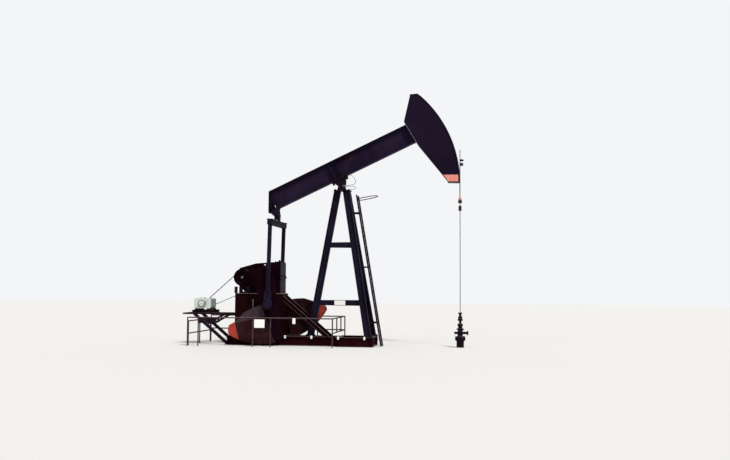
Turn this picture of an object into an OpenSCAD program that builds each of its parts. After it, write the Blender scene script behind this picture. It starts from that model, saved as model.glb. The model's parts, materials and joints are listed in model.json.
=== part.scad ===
// Beam pumping unit: a walking beam on a tripod post, rocked by two counterweighted cranks.
// X runs toward the well, Y runs across the unit, Z is up, and the origin is on the ground
// straight below the saddle bearing. All sizes are in millimetres and all angles in degrees.

/* [Geometry of motion] */
// Height of the saddle bearing above the ground
saddle_z = 6230; // [6000:10:6600]
// Saddle bearing to polished rod
head_arm = 4572; // [4500:1:4700]
// Saddle bearing to tail bearing
tail_arm = 2830; // [2750:1:2900]
// Upward tilt of the walking beam in the shown position
beam_tilt = 25.2; // [24:0.1:26]
// Distance of the crankshaft behind the saddle bearing
crank_back = 2913; // [2850:1:2980]
// Height of the crankshaft above the ground
crank_z = 2600; // [2580:1:2700]
// Crankshaft to wrist pin
crank_throw = 1067; // [900:1:1120]
// Angle of the crank from straight down toward the well
crank_angle = 15; // [5:0.5:20]

/* [Walking beam] */
// Depth of the beam section
beam_depth = 770; // [700:5:820]
// Width of the beam flanges
beam_flange_w = 300; // [260:5:340]
// Thickness of the beam flanges
beam_flange_t = 32; // [20:1:40]
// Thickness of the beam web
beam_web_t = 20; // [12:1:30]
// Height of the beam's underside above the saddle bearing
beam_rise = 230; // [215:1:260]
// Overhang of the beam's lower flange behind the tail bearing
beam_tail_over = 260; // [200:5:320]
// Saddle bearing to the beam's front end, along its lower flange
beam_front = 3295; // [3200:5:3350]
// Slope of the beam's front end
beam_front_slope = 5.5; // [4:0.5:9]
// Thickness of web stiffeners and end plates
stiffener_t = 20; // [12:1:30]

/* [Saddle and tail bearings] */
// Radius of the saddle shaft
saddle_shaft_r = 60; // [50:1:70]
// Radius of the saddle bearing's housing
saddle_housing_r = 135; // [120:1:150]
// Width of the saddle bearing's housing
saddle_w = 280; // [240:5:290]
// Thickness of the post's bearing blocks
saddle_block_t = 70; // [50:1:80]
// Length of the plate under the beam
saddle_plate_l = 660; // [600:5:700]
// Thickness of the plates above and below the saddle bearing
saddle_plate_t = 30; // [20:1:40]
// Radius of the tail pin
tail_pin_r = 45; // [35:1:60]
// Width of the equaliser's bearing housing
tail_w = 230; // [200:5:240]
// Thickness of the tail bracket's cheeks
tail_cheek_t = 36; // [25:1:45]

/* [Horsehead] */
// Arc of the track above the beam's centre line
track_up = 24.3; // [22:0.1:26]
// Arc of the track below the beam's centre line
track_down = 25.2; // [24:0.1:25.2]
// Overall width of the horsehead
head_w = 460; // [400:5:520]
// Thickness of the horsehead's plates
head_plate_t = 16; // [10:1:20]
// Thickness of the curved track plate
track_t = 30; // [20:1:40]
// How far the side plates are set in from the rims
head_inset = 14; // [8:1:20]
// Depth of the crown, from the track to its rear corner
crown_d = 267; // [240:1:300]
// Rise of the crown toward its rear corner
crown_rise = 98; // [80:1:120]
// Depth of the chin, from the track to its rear corner
chin_d = 387; // [340:1:420]
// Rise of the chin toward its rear corner
chin_rise = 217; // [180:1:240]
// How far the horsehead's back reaches past the beam, above and below
head_past = 110; // [80:5:140]

/* [Wire lines and rod] */
// Radius of a wire line
wire_r = 14; // [12:0.5:16]
// Spacing of the two wire lines
wire_gap = 150; // [130:1:170]
// Radius of the polished rod
rod_r = 16; // [14:0.5:16]
// Height of the rod's top end
rod_top_z = 7520; // [7300:5:7600]
// Height of the rod's lower end
rod_end_z = 420; // [300:5:600]
// Height of the carrier bar's underside
carrier_z = 5470; // [5300:5:5600]
// Height of the carrier bar
carrier_h = 90; // [60:1:110]
// Width of the carrier bar, fore and aft
carrier_w = 140; // [120:1:160]
// Height of a wire line's socket
socket_h = 230; // [200:5:250]
// Height of the lower rod clamp
clamp_h = 190; // [160:5:200]
// Height of the upper rod clamp's centre
spare_clamp_z = 6950; // [6800:5:7100]
// Height of the lower rod clamp's centre
lower_clamp_z = 5265; // [5200:5:5300]

/* [Pitmans and equaliser] */
// Distance of each pitman from the middle plane
pitman_y = 1100; // [1090:1:1120]
// Width of a pitman, across the unit
pitman_w = 130; // [100:1:140]
// Depth of a pitman
pitman_d = 130; // [100:1:150]
// Radius of a wrist pin bearing housing
wrist_r = 180; // [150:1:200]
// Length of a wrist pin bearing housing
wrist_w = 200; // [160:1:210]
// Tail bearing to the middle of the equaliser
equaliser_drop = 320; // [300:1:380]
// Depth of the equaliser beam
equaliser_h = 210; // [180:1:240]
// Thickness of the equaliser beam, fore and aft
equaliser_t = 190; // [150:1:220]

/* [Cranks and counterweights] */
// Distance of a crank's inner face from the middle plane
crank_y = 620; // [610:1:640]
// Thickness of a crank
crank_t = 220; // [180:1:240]
// Half width of a crank at its hub
crank_hub_half = 390; // [340:5:400]
// Half width of a crank at its outer end
crank_tip_half = 170; // [140:5:220]
// Reach of a crank from the crankshaft
crank_reach = 2440; // [2350:5:2480]
// Outer radius of the counterweights about the crankshaft
weight_r = 2530; // [2400:5:2550]
// Reach of a counterweight from the crank's middle line
weight_half = 1800; // [1650:5:1830]
// Distance along the crank where a counterweight starts
weight_start = 1000; // [960:5:1040]
// Thickness of a counterweight
weight_t = 340; // [300:5:340]
// Depth of the slope along a counterweight's inner edge
weight_slope = 130; // [80:5:160]
// Thickness of a crank's hub boss
crank_boss_t = 30; // [20:1:40]
// Radius of the crankshaft
crankshaft_r = 110; // [90:1:125]
// Radius of a wrist pin
wrist_pin_r = 70; // [55:1:85]

/* [Gearbox] */
// Width of the gearbox housing
gearbox_w = 800; // [760:5:820]
// Overall length of the gearbox
gearbox_l = 1660; // [1600:5:1700]
// Crankshaft to the gearbox's front end
gearbox_front = 623; // [600:1:640]
// Height of the gearbox's roof above the crankshaft
gearbox_up = 590; // [520:5:640]
// Height of the gearbox's low rear corner above the crankshaft
gearbox_rear_up = 360; // [300:5:420]
// Depth of the gearbox below the crankshaft
gearbox_down = 610; // [560:5:618]
// Crankshaft to the input shaft
input_back = 887; // [860:1:900]
// Radius of the input shaft
input_r = 45; // [35:1:60]
// Height of the gearbox's split flange
split_h = 80; // [60:2:100]
// Reach of the split flange past the housing
split_w = 26; // [16:1:30]
// Width of the gearbox's shaft bosses past the housing
boss_w = 100; // [80:1:110]
// Thickness of the gearbox's ribs
rib_t = 24; // [16:1:30]
// Radius of the brake drum
brake_r = 335; // [300:1:360]
// Width of the brake drum
brake_w = 110; // [90:1:120]

/* [Belt drive] */
// Pitch radius of the gearbox sheave
sheave_r = 455; // [400:1:480]
// Pitch radius of the motor sheave
motor_sheave_r = 135; // [110:1:160]
// Face width of both sheaves
sheave_w = 110; // [90:1:116]
// Distance of the sheaves' inner faces from the middle plane
sheave_y = 424; // [420:1:428]
// Thickness of the belt set
belt_t = 16; // [12:1:20]
// Thickness of the sheaves' rim flanges
lip_t = 10; // [8:1:12]
// Distance of the motor shaft behind the saddle bearing
motor_back = 5430; // [5380:5:5500]
// Height of the motor shaft
motor_z = 1580; // [1540:1:1620]

/* [Base and pedestal] */
// Height of the base beams
base_h = 350; // [300:5:400]
// Flange width of the base beams
base_flange_w = 180; // [150:5:200]
// Flange thickness of the base beams
base_flange_t = 22; // [14:1:28]
// Web thickness of the base beams
base_web_t = 14; // [10:1:20]
// Distance of the base's rear end behind the saddle bearing
base_rear = 4380; // [4300:5:4450]
// Distance of the base's front end ahead of the saddle bearing
base_front = 1340; // [1320:5:1400]
// Half width of the narrow rear base
base_rear_half = 500; // [490:1:515]
// Half width of the wide front base
base_front_half = 800; // [780:1:840]
// Length of the pedestal
pedestal_l = 1900; // [1850:5:1950]
// Half width of the pedestal
pedestal_half = 425; // [410:1:428]
// Thickness of the pedestal's plates
pedestal_t = 20; // [12:1:30]
// Depth of a strut between pedestal and base
strut_d = 150; // [120:5:200]
// Width of a strut
strut_w = 100; // [80:5:120]
// Distance of the struts' lower ends behind the saddle bearing
strut_foot = 480; // [450:5:520]
// Drop of the struts' upper ends below the pedestal's top
strut_drop = 190; // [150:5:230]

/* [Tripod post] */
// Depth of a leg section
leg_d = 250; // [220:5:270]
// Flange width of a leg section
leg_w = 200; // [160:5:240]
// Flange thickness of a leg section
leg_flange_t = 18; // [12:1:24]
// Web thickness of a leg section
leg_web_t = 12; // [8:1:18]
// Distance of the rear leg's foot behind the saddle bearing
rear_foot = 1190; // [1100:5:1250]
// Distance of the front legs' feet ahead of the saddle bearing
front_foot = 1150; // [1100:5:1180]
// Half spread of the front legs' feet
foot_half = 690; // [640:5:700]
// Distance of the rear leg's head behind the saddle bearing
rear_head = 170; // [150:5:200]
// Distance of the front legs' heads ahead of the saddle bearing
front_head = 190; // [170:5:210]
// Half spread of the front legs' heads
head_half = 125; // [110:5:140]
// Height of the post's cap plate
cap_z = 6000; // [5900:5:6040]
// Height of the upper tie
upper_tie_z = 3870; // [3700:5:4000]
// Height of the lower tie
lower_tie_z = 1640; // [1500:5:1800]
// Depth of a tie
tie_h = 200; // [160:5:220]
// Thickness of a tie
tie_t = 12; // [8:1:20]

/* [Ladder] */
// Half spacing of the ladder's side rails
ladder_half = 240; // [200:5:260]
// Spacing of the ladder's rungs
rung_pitch = 305; // [280:5:350]
// Height of the ladder's top end
ladder_top_z = 5800; // [5700:5:5900]
// Distance of the ladder's foot ahead of the front base
ladder_foot = 250; // [200:5:300]
// Depth of a ladder rail
rail_d = 60; // [40:5:80]
// Thickness of a ladder rail
rail_t = 12; // [8:1:16]
// Radius of a rung
rung_r = 11; // [8:1:16]
// Radius of the safety hoop's tube
hoop_r = 16; // [12:1:24]
// Half width of the safety hoop
hoop_half = 350; // [320:5:400]
// Length of the hoop's straight sides
hoop_l = 380; // [340:5:420]
// Drop of the hoop below the ladder's top
hoop_drop = 160; // [100:5:200]
// Depth of the ladder's stand-offs
standoff_d = 50; // [40:1:60]

/* [Motor and its stand] */
// Height of the motor stand's top
stand_z = 1215; // [1180:5:1240]
// Distance of the stand's rear end behind the saddle bearing
stand_rear = 6180; // [6100:5:6250]
// Half width of the motor stand
stand_half = 480; // [440:1:500]
// Height of the stand's rails
stand_rail_h = 60; // [50:1:80]
// Width of the stand's rails
stand_rail_w = 60; // [50:1:80]
// Depth of the stand's legs
stand_leg_d = 120; // [90:1:130]
// Distance of the slide rails' rear end behind the saddle bearing
slide_rear = 5850; // [5800:5:5900]
// Length of the slide rails
slide_l = 880; // [840:5:920]
// Height of the slide rails
slide_h = 110; // [90:1:120]
// Length of the motor's housing, across the unit
motor_l = 640; // [600:5:680]
// Width of the motor's housing, fore and aft
motor_w = 690; // [640:5:720]
// Height of the motor's housing
motor_h = 400; // [380:5:420]
// Radius of the motor's end bells
bell_r = 150; // [130:1:170]
// Radius of the motor's shaft
motor_shaft_r = 30; // [24:1:36]

/* [Guard rail] */
// Height of the guard rail
guard_h = 1070; // [1000:5:1100]
// Distance of the guard rail from the middle plane
guard_y = 1390; // [1350:5:1450]
// Distance of the guard's rear end behind the saddle bearing
guard_rear = 5650; // [5600:5:5700]
// Distance of the guard's front end behind the saddle bearing
guard_front = 80; // [40:5:160]
// Radius of the guard's tube
guard_r = 24; // [18:1:28]
// Height of the low panel at the guard's rear end
gate_h = 930; // [880:5:960]

/* [Wellhead] */
// Height of the stuffing box's top
gland_z = 1315; // [1280:5:1340]
// Height where the stuffing box sits on the casing head
joint_z = 700; // [680:5:720]
// Radius of the casing head
casing_r = 140; // [120:5:160]
// Height of the casing head's side outlets
outlet_z = 545; // [530:5:560]
// Reach of the side outlets from the polished rod
outlet_l = 300; // [250:5:330]
// Radius of the valve's handwheel
wheel_r = 95; // [80:1:110]

/* [Hidden] */
// Running clearance of a shaft in its bearing
fit = 0.3;
// Side clearance between a bearing housing and its blocks
saddle_gap = 15;
// Tiny overlap that lets cuts pass right through
eps = 1;
// Gap between the belts and the sheaves, more than the sag of the belt's facets
belt_seat = 0.9;
// Gap between the belts' sides and the rim flanges
lip_gap = 2;
// Faces of a round piece
$fn = 48;
steel_black = "#241c22";
steel_red = "#4a2226";
steel_grey = "#6d6a70";
rim_black = "#14121a";
band_orange = "#d5543c";
motor_green = "#c4cfc6";
rod_steel = "#8c8f94";
wire_grey = "#3a3a42";
belt_black = "#1b1b1d";
rail_brown = "#4b3b34";
// Beam underside and top in the beam's own frame
beam_low = beam_rise;
beam_top = beam_rise + beam_depth;
beam_rear_low = -(tail_arm + beam_tail_over);
beam_rear_top = beam_rear_low + beam_depth * tan(beam_tilt);
beam_front_top = beam_front - beam_depth * tan(beam_front_slope);
// Tail bearing, crankshaft and wrist pin in the unit's frame
tail_pos = [-tail_arm * cos(beam_tilt), 0, saddle_z - tail_arm * sin(beam_tilt)];
crank_pos = [-crank_back, 0, crank_z];
wrist_pos = crank_pos + [crank_throw * sin(crank_angle), 0, -crank_throw * cos(crank_angle)];
pitman_len = norm(tail_pos - wrist_pos);
pitman_lean = asin((tail_pos[0] - wrist_pos[0]) / pitman_len);
input_pos = crank_pos - [input_back, 0, 0];
motor_pos = [-motor_back, 0, motor_z];
pedestal_top = crank_z - gearbox_down;
gearbox_rear_x = -crank_back + gearbox_front - gearbox_l;
gearbox_front_x = -crank_back + gearbox_front;
pedestal_front = gearbox_front_x + 90;
pedestal_rear = pedestal_front - pedestal_l;
rod_x = head_arm;
// Gap between the polished rod and the track behind it
rod_gap = 4;
track_r = head_arm - rod_r - rod_gap;
// Middle line of the wire lines where they leave the track
wire_x = track_r + wire_r + fit;

// Moves children into the walking beam's frame: X along it, Z up from it
module at_beam() {
    translate([0, 0, saddle_z])
        rotate([0, -beam_tilt, 0])
            children();
}

// Moves children into the crank's frame: X along the crank, Z toward the well
module at_crank() {
    translate(crank_pos)
        rotate([0, 90 - crank_angle, 0])
            children();
}

// Moves children into the pitmans' frame: origin at the tail bearing, -Z toward the wrist pins
module at_pitman() {
    translate(tail_pos)
        rotate([0, pitman_lean, 0])
            children();
}

// Extrudes a profile drawn in X and Z by a width centred on Y = y
module plate(width, y = 0) {
    translate([0, y + width / 2, 0])
        rotate([90, 0, 0])
            linear_extrude(width)
                children();
}

// A cylinder along Y
module rod_y(r, length, y = 0) {
    translate([0, y + length / 2, 0])
        rotate([90, 0, 0])
            cylinder(r = r, h = length);
}

// I section in the XY plane: depth along X, flanges along Y
module i_profile(depth, width, flange, web) {
    square([depth, web], center = true);
    for (side = [-1, 1])
        translate([side * (depth - flange) / 2, 0])
            square([flange, width], center = true);
}

// Sweeps a profile from one point to another; the profile's X stays as near +X as it can
module sweep(from, to) {
    run = to - from;
    length = norm(run);
    translate(from)
        rotate([-asin(run[1] / length), atan2(run[0], run[2]), 0])
            linear_extrude(length)
                children();
}

// An I beam lying along X, web upright
module beam_x(x0, x1, y, z0, depth, width, flange, web) {
    translate([x0, y, z0 + depth / 2])
        rotate([0, 90, 0])
            linear_extrude(x1 - x0)
                i_profile(depth, width, flange, web);
}

// An I beam lying along Y, web upright
module beam_y(x, y0, y1, z0, depth, width, flange, web) {
    translate([x, y1, z0 + depth / 2])
        rotate([90, 0, 0])
            linear_extrude(y1 - y0)
                rotate(90)
                    i_profile(depth, width, flange, web);
}

// Rear base: two runners and their cross members
module base_rear() {
    runner_y = base_rear_half - base_flange_w / 2;
    run = base_rear - base_flange_w / 2 - rear_foot;
    color(steel_black) {
        for (side = [-1, 1])
            beam_x(-base_rear, -base_flange_w / 2, side * runner_y, 0, base_h, base_flange_w,
                base_flange_t, base_web_t);
        for (share = [0:1 / 3:1])
            beam_y(-rear_foot - share * run, -runner_y, runner_y, 0, base_h, base_flange_w,
                base_flange_t, base_web_t);
        translate([-base_rear, -base_rear_half, 0])
            cube([base_flange_t, 2 * base_rear_half, base_h]);
    }
}

// Front base: the wide frame below the tripod post
module base_front() {
    side_y = base_front_half - base_flange_w / 2;
    color(steel_black) {
        for (side = [-1, 1])
            beam_x(-base_flange_w / 2, base_front, side * side_y, 0, base_h, base_flange_w,
                base_flange_t, base_web_t);
        for (x = [0, base_front - base_flange_w / 2])
            beam_y(x, -base_front_half, base_front_half, 0, base_h, base_flange_w,
                base_flange_t, base_web_t);
    }
}

// Pedestal: a plated box that carries the gearbox
module pedestal() {
    height = pedestal_top - base_h;
    rib_pitch = pedestal_l / 4;
    color(steel_red) {
        difference() {
            translate([pedestal_rear, -pedestal_half + pedestal_t, base_h])
                cube([pedestal_l, 2 * (pedestal_half - pedestal_t), height]);
            translate([pedestal_rear + pedestal_t, -pedestal_half + 2 * pedestal_t, base_h - eps])
                cube([pedestal_l - 2 * pedestal_t, 2 * (pedestal_half - 2 * pedestal_t),
                    height - pedestal_t + eps]);
        }
        translate([pedestal_rear, -pedestal_half, pedestal_top - pedestal_t])
            cube([pedestal_l, 2 * pedestal_half, pedestal_t]);
        for (side = [-1, 1])
            for (step = [0:4])
                translate([pedestal_rear + step * (rib_pitch - pedestal_t / 4),
                    side > 0 ? pedestal_half - pedestal_t : -pedestal_half, base_h])
                    cube([pedestal_t, pedestal_t, height]);
    }
}

// Outline of the gearbox in X and Z
module gearbox_outline() {
    step = 0.2 * gearbox_down;
    polygon([
        [gearbox_rear_x, pedestal_top + step],
        [gearbox_rear_x + 1.5 * step, pedestal_top + step],
        [gearbox_rear_x + 2.1 * step, pedestal_top],
        [gearbox_front_x, pedestal_top],
        [gearbox_front_x, crank_z + gearbox_up],
        [gearbox_front_x - 0.22 * gearbox_l, crank_z + gearbox_up],
        [gearbox_front_x - 0.6 * gearbox_l, crank_z + 0.92 * gearbox_up],
        [gearbox_rear_x, crank_z + gearbox_rear_up]]);
}

// Shaft holes of the gearbox
module gearbox_bores() {
    translate(crank_pos)
        rod_y(crankshaft_r + fit, 2 * gearbox_w);
    translate(input_pos)
        rod_y(input_r + fit, 2 * gearbox_w);
}

// Bearing bosses, bearing caps and ribs on both sides of the gearbox
module gearbox_bosses() {
    boss_r = 2.1 * crankshaft_r;
    cap_r = 2.6 * input_r;
    rib_d = 2 * split_w;
    for (side = [-1, 1]) {
        translate(crank_pos) {
            rod_y(boss_r, boss_w, side * (gearbox_w + boss_w) / 2);
            for (x = [-0.45, 0.45])
                translate([x * gearbox_front - rib_t / 2, side * gearbox_w / 2 - rib_d / 2, -0.9 * gearbox_down])
                    cube([rib_t, rib_d, 0.9 * gearbox_down + 0.8 * gearbox_up]);
            translate([-boss_r - rib_d, side * gearbox_w / 2 - rib_d, -split_h])
                cube([2 * (boss_r + rib_d), 2 * rib_d, 2 * split_h]);
        }
        translate(input_pos)
            rod_y(cap_r, split_w, side * gearbox_w / 2);
    }
}

// Split flange of the gearbox, wide ahead of the sheave and level with the sides behind it
module gearbox_flange() {
    flange_l = input_back + gearbox_front - 1.3 * sheave_r;
    translate([gearbox_front_x - flange_l, -gearbox_w / 2 - split_w, crank_z - split_h / 2])
        cube([flange_l + split_w, gearbox_w + 2 * split_w, split_h]);
    translate([gearbox_rear_x - split_w, -gearbox_w / 2, crank_z - split_h / 2])
        cube([gearbox_l, gearbox_w, split_h]);
}

// One half of the gearbox, above or below the split through the shafts
module gearbox_half(upper) {
    reach = 2 * gearbox_l;
    split_z = upper ? crank_z : crank_z - reach;
    difference() {
        intersection() {
            union() {
                plate(gearbox_w)
                    gearbox_outline();
                gearbox_bosses();
                gearbox_flange();
            }
            translate([-crank_back - reach, -reach, split_z])
                cube([2 * reach, 2 * reach, reach]);
        }
        gearbox_bores();
    }
}

// Gearbox case below the shafts, with its rear feet
module gearbox_case() {
    foot = 0.2 * gearbox_down;
    color(steel_black) {
        gearbox_half(false);
        for (side = [-1, 1])
            translate([gearbox_rear_x, side * (gearbox_w - foot) / 2 - foot / 2, pedestal_top])
                cube([0.7 * foot, foot, foot]);
    }
}

// Gearbox cover above the shafts, with its inspection hatch and breather
module gearbox_cover() {
    hatch = [0.3 * gearbox_l, 0.6 * gearbox_w, rib_t];
    roof_z = crank_z + gearbox_up;
    color(steel_red) {
        gearbox_half(true);
        translate([gearbox_front_x - 0.18 * gearbox_l, -hatch[1] / 2, roof_z])
            cube([0.5 * hatch[0], hatch[1], hatch[2]]);
        translate([gearbox_front_x - 0.1 * gearbox_l, 0, roof_z])
            cylinder(r = 1.4 * rib_t, h = 4 * rib_t);
    }
}

// Leg end points of the tripod post
rear_leg_top = [-rear_head, 0, cap_z - saddle_plate_t];
rear_leg_foot = [-rear_foot, 0, base_h];
front_leg_top = [front_head, head_half, cap_z - saddle_plate_t];
front_leg_foot = [front_foot, foot_half, base_h];

// Point on a leg at a height
function on_leg(foot, top, z) = foot + (top - foot) * (z - foot[2]) / (top[2] - foot[2]);

// Mirrors a point to the near side, which has negative Y
function near(p) = [p[0], -p[1], p[2]];

// A leg cut level at its foot and its head
module leg(foot, top) {
    past = (top - foot) * 0.06;
    reach = 2 * rear_foot;
    intersection() {
        sweep(foot - past, top + past)
            i_profile(leg_d, leg_w, leg_flange_t, leg_web_t);
        translate([-reach, -reach, foot[2]])
            cube([2 * reach, 2 * reach, top[2] - foot[2]]);
    }
}

// Rear leg of the tripod, with its foot plate
module post_rear_leg() {
    color(steel_black)
        leg(rear_leg_foot, rear_leg_top);
}

// Near front leg of the tripod
module post_front_leg_near() {
    color(steel_black)
        leg(near(front_leg_foot), near(front_leg_top));
}

// Far front leg of the tripod
module post_front_leg_far() {
    color(steel_black)
        leg(front_leg_foot, front_leg_top);
}

// Space that a leg takes up, wide enough to trim what butts against it
module leg_space(foot, top, width) {
    past = (top - foot) * 0.1;
    sweep(foot - past, top + past)
        square([leg_d, width], center = true);
}

// Ties along the unit, from the rear leg to each front leg
module side_ties() {
    for (z = [upper_tie_z, lower_tie_z]) {
        rear = on_leg(rear_leg_foot, rear_leg_top, z);
        front = on_leg(front_leg_foot, front_leg_top, z);
        for (side = [-1, 1])
            sweep(rear + [0, side * leg_w / 4, 0], [front[0], side * front[1], z])
                square([tie_h, tie_t], center = true);
    }
}

// Ties across the unit, cut along the middle of the front legs' webs
module cross_ties() {
    for (z = [upper_tie_z, lower_tie_z]) {
        low = on_leg(front_leg_foot, front_leg_top, z - tie_h / 2);
        high = on_leg(front_leg_foot, front_leg_top, z + tie_h / 2);
        translate([(low[0] + high[0] - tie_t) / 2, 0, 0])
            rotate([90, 0, 90])
                linear_extrude(tie_t)
                    polygon([[-low[1], low[2]], [low[1], low[2]], [high[1], high[2]], [-high[1], high[2]]]);
    }
}

// Level ties between the legs, trimmed to the flanges and webs that they meet
module post_ties() {
    color(steel_black) {
        difference() {
            side_ties();
            leg_space(rear_leg_foot, rear_leg_top, leg_w);
            leg_space(front_leg_foot, front_leg_top, leg_w);
            leg_space(near(front_leg_foot), near(front_leg_top), leg_w);
        }
        difference() {
            cross_ties();
            leg(front_leg_foot, front_leg_top);
            leg(near(front_leg_foot), near(front_leg_top));
        }
    }
}

// Cap plate and fixed bearing blocks on top of the post, with the saddle shaft
module saddle_stand() {
    block_y = (saddle_w + saddle_block_t) / 2 + saddle_gap;
    foot = 2.5 * saddle_shaft_r;
    shoulder = 4 / 3 * saddle_shaft_r;
    cap_half = block_y + 0.57 * saddle_block_t;
    color(steel_black) {
        translate([-saddle_plate_l * 0.44, -cap_half, cap_z - saddle_plate_t])
            cube([saddle_plate_l * 0.97, 2 * cap_half, saddle_plate_t]);
        for (side = [-1, 1])
            plate(saddle_block_t, side * block_y)
                polygon([[-foot, cap_z], [foot, cap_z], [shoulder, saddle_z + shoulder / 2],
                    [shoulder / 2, saddle_z + shoulder], [-shoulder / 2, saddle_z + shoulder],
                    [-shoulder, saddle_z + shoulder / 2]]);
        translate([0, 0, saddle_z])
            rod_y(saddle_shaft_r, 2 * cap_half - saddle_gap);
    }
}

// Ladder geometry: it leans with the front legs
ladder_head = [front_head + 1.68 * leg_d, 0, ladder_top_z];
ladder_end = [base_front + ladder_foot, 0, 0];
ladder_run = ladder_head - ladder_end;
ladder_lean = atan2(-ladder_run[0], ladder_run[2]);

// Distance forward of the ladder's middle line at a height
function ladder_x(z) = ladder_end[0] + ladder_run[0] * z / ladder_top_z;

// One end of a stand-off at a height: the leg's middle line on one side
function leg_side(side, z) =
    let (p = on_leg(front_leg_foot, front_leg_top, z)) [p[0], side * p[1], p[2]];

// Ladder with its stand-offs, which are trimmed to the front legs
module ladder() {
    length = norm(ladder_run);
    rungs = floor(length / rung_pitch) - 1;
    below = 0.1 * ladder_top_z;
    color(rail_brown)
        difference() {
            union() {
                for (side = [-1, 1])
                    sweep(ladder_end - 0.02 * ladder_run + [0, side * ladder_half, 0],
                        ladder_head + [0, side * ladder_half, 0])
                        square([rail_d, rail_t], center = true);
                for (step = [1:rungs])
                    translate(ladder_end + ladder_run * (step * rung_pitch / length))
                        rod_y(rung_r, 2 * ladder_half);
                for (share = [0.88, 0.52, 0.155])
                    for (side = [-1, 1])
                        sweep(leg_side(side, share * ladder_top_z),
                            [ladder_x(share * ladder_top_z), side * ladder_half, share * ladder_top_z])
                            square([standoff_d, standoff_d / 5], center = true);
            }
            for (side = [-1, 1])
                leg_space([front_leg_foot[0], side * front_leg_foot[1], front_leg_foot[2]],
                    [front_leg_top[0], side * front_leg_top[1], front_leg_top[2]], 3 * leg_w);
            translate([ladder_end[0] - below, -2 * ladder_half, -below])
                cube([2 * below, 4 * ladder_half, below]);
        }
}

// Safety hoop at the ladder's head, seated on the front of the rails
module ladder_hoop() {
    hoop_z = ladder_top_z - hoop_drop;
    seat = (rail_d / 2 + hoop_r) / cos(ladder_lean) + fit;
    color(rail_brown)
        translate([ladder_x(hoop_z) + seat, 0, hoop_z])
            rotate([0, -10, 0]) {
                for (side = [-1, 1])
                    translate([0, side * hoop_half, 0])
                        rotate([0, 90, 0])
                            cylinder(r = hoop_r, h = hoop_l);
                translate([hoop_l, 0, 0])
                    rotate([0, 0, -90])
                        rotate_extrude(angle = 180)
                            translate([hoop_half, 0])
                                circle(r = hoop_r);
                rod_y(hoop_r, 2 * hoop_half);
            }
}

// Diagonal strut from the pedestal's head to the rear base, trimmed to both
module strut(y) {
    low = [-strut_foot, y, base_h];
    high = [pedestal_front, y, pedestal_top - strut_drop];
    past = (high - low) * 0.1;
    color(steel_black)
        intersection() {
            sweep(high + past, low - past)
                i_profile(strut_d, strut_w, strut_w / 8, strut_w / 12);
            translate([pedestal_front, y - strut_w, base_h])
                cube([-pedestal_front - base_flange_w / 2, 2 * strut_w, pedestal_top - base_h]);
        }
}

module strut_near() {
    strut(-pedestal_half + 0.55 * strut_w);
}

module strut_far() {
    strut(pedestal_half - 0.55 * strut_w);
}

// A plate of the motor stand in the plane of its knees, with two lightening holes
module knee_plate(y) {
    centre_x = -base_rear - 7.5 * stand_leg_d;
    size = [4.6 * stand_leg_d, 1.6 * stand_leg_d];
    plate(stand_rail_w / 5, y)
        difference() {
            translate([centre_x, 0.75 * stand_z])
                square(size, center = true);
            for (side = [-1, 1])
                translate([centre_x + side * size[0] * 0.3, 0.75 * stand_z])
                    circle(r = size[1] / 5);
        }
}

// Motor stand: side and cross rails, legs that end on the base, knees and the plates between them
module motor_stand() {
    rail_z = stand_z - stand_rail_h / 2;
    leg_w = stand_rail_w - 10;
    y_leg = stand_half - stand_rail_w / 2;
    stand_l = stand_rear + pedestal_rear;
    knee_top = [-base_rear - 1.5 * stand_rail_h, 0, rail_z];
    knee_end = [-base_rear - 6.5 * stand_leg_d, 0, 0.66 * stand_z];
    color(steel_black) {
        for (side = [-1, 1]) {
            y = [0, side * y_leg, 0];
            translate([-stand_rear, side * y_leg - stand_rail_w / 2, stand_z - stand_rail_h])
                cube([stand_l, stand_rail_w, stand_rail_h]);
            intersection() {
                union() {
                    sweep([2 * stand_rail_h - slide_rear, 0, rail_z] + y, [stand_rail_h - base_rear, 0, 0] + y)
                        square([stand_leg_d, leg_w], center = true);
                    sweep(knee_top + y, knee_end + y)
                        square([0.7 * stand_leg_d, leg_w], center = true);
                }
                translate([-slide_rear, -stand_half, 0])
                    cube([slide_rear - base_rear, 2 * stand_half, stand_z - eps]);
            }
            knee_plate(side * y_leg);
        }
        for (x = [0, stand_rear - slide_rear, stand_rear - slide_rear + slide_l, stand_l - stand_rail_w])
            translate([x - stand_rear, -y_leg, stand_z - stand_rail_h])
                cube([stand_rail_w, 2 * y_leg, stand_rail_h]);
    }
}

// Slide rails that the motor is moved along to tighten the belts
module motor_slide() {
    foot = stand_z + fit + slide_h;
    rail_y = 0.7 * stand_half;
    motor_low = motor_z - motor_h / 2 - fit;
    color(steel_black) {
        for (side = [-1, 1])
            translate([-slide_rear, side * rail_y, foot - slide_h / 2])
                rotate([0, 90, 0])
                    linear_extrude(slide_l)
                        i_profile(slide_h, 1.2 * slide_h, slide_h / 7, slide_h / 7);
        for (side = [-1, 1])
            translate([-motor_back + side * 0.36 * motor_w - stand_leg_d / 2, -rail_y - slide_h / 2, foot])
                cube([stand_leg_d, 2 * rail_y + slide_h, motor_low - foot]);
    }
}

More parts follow.
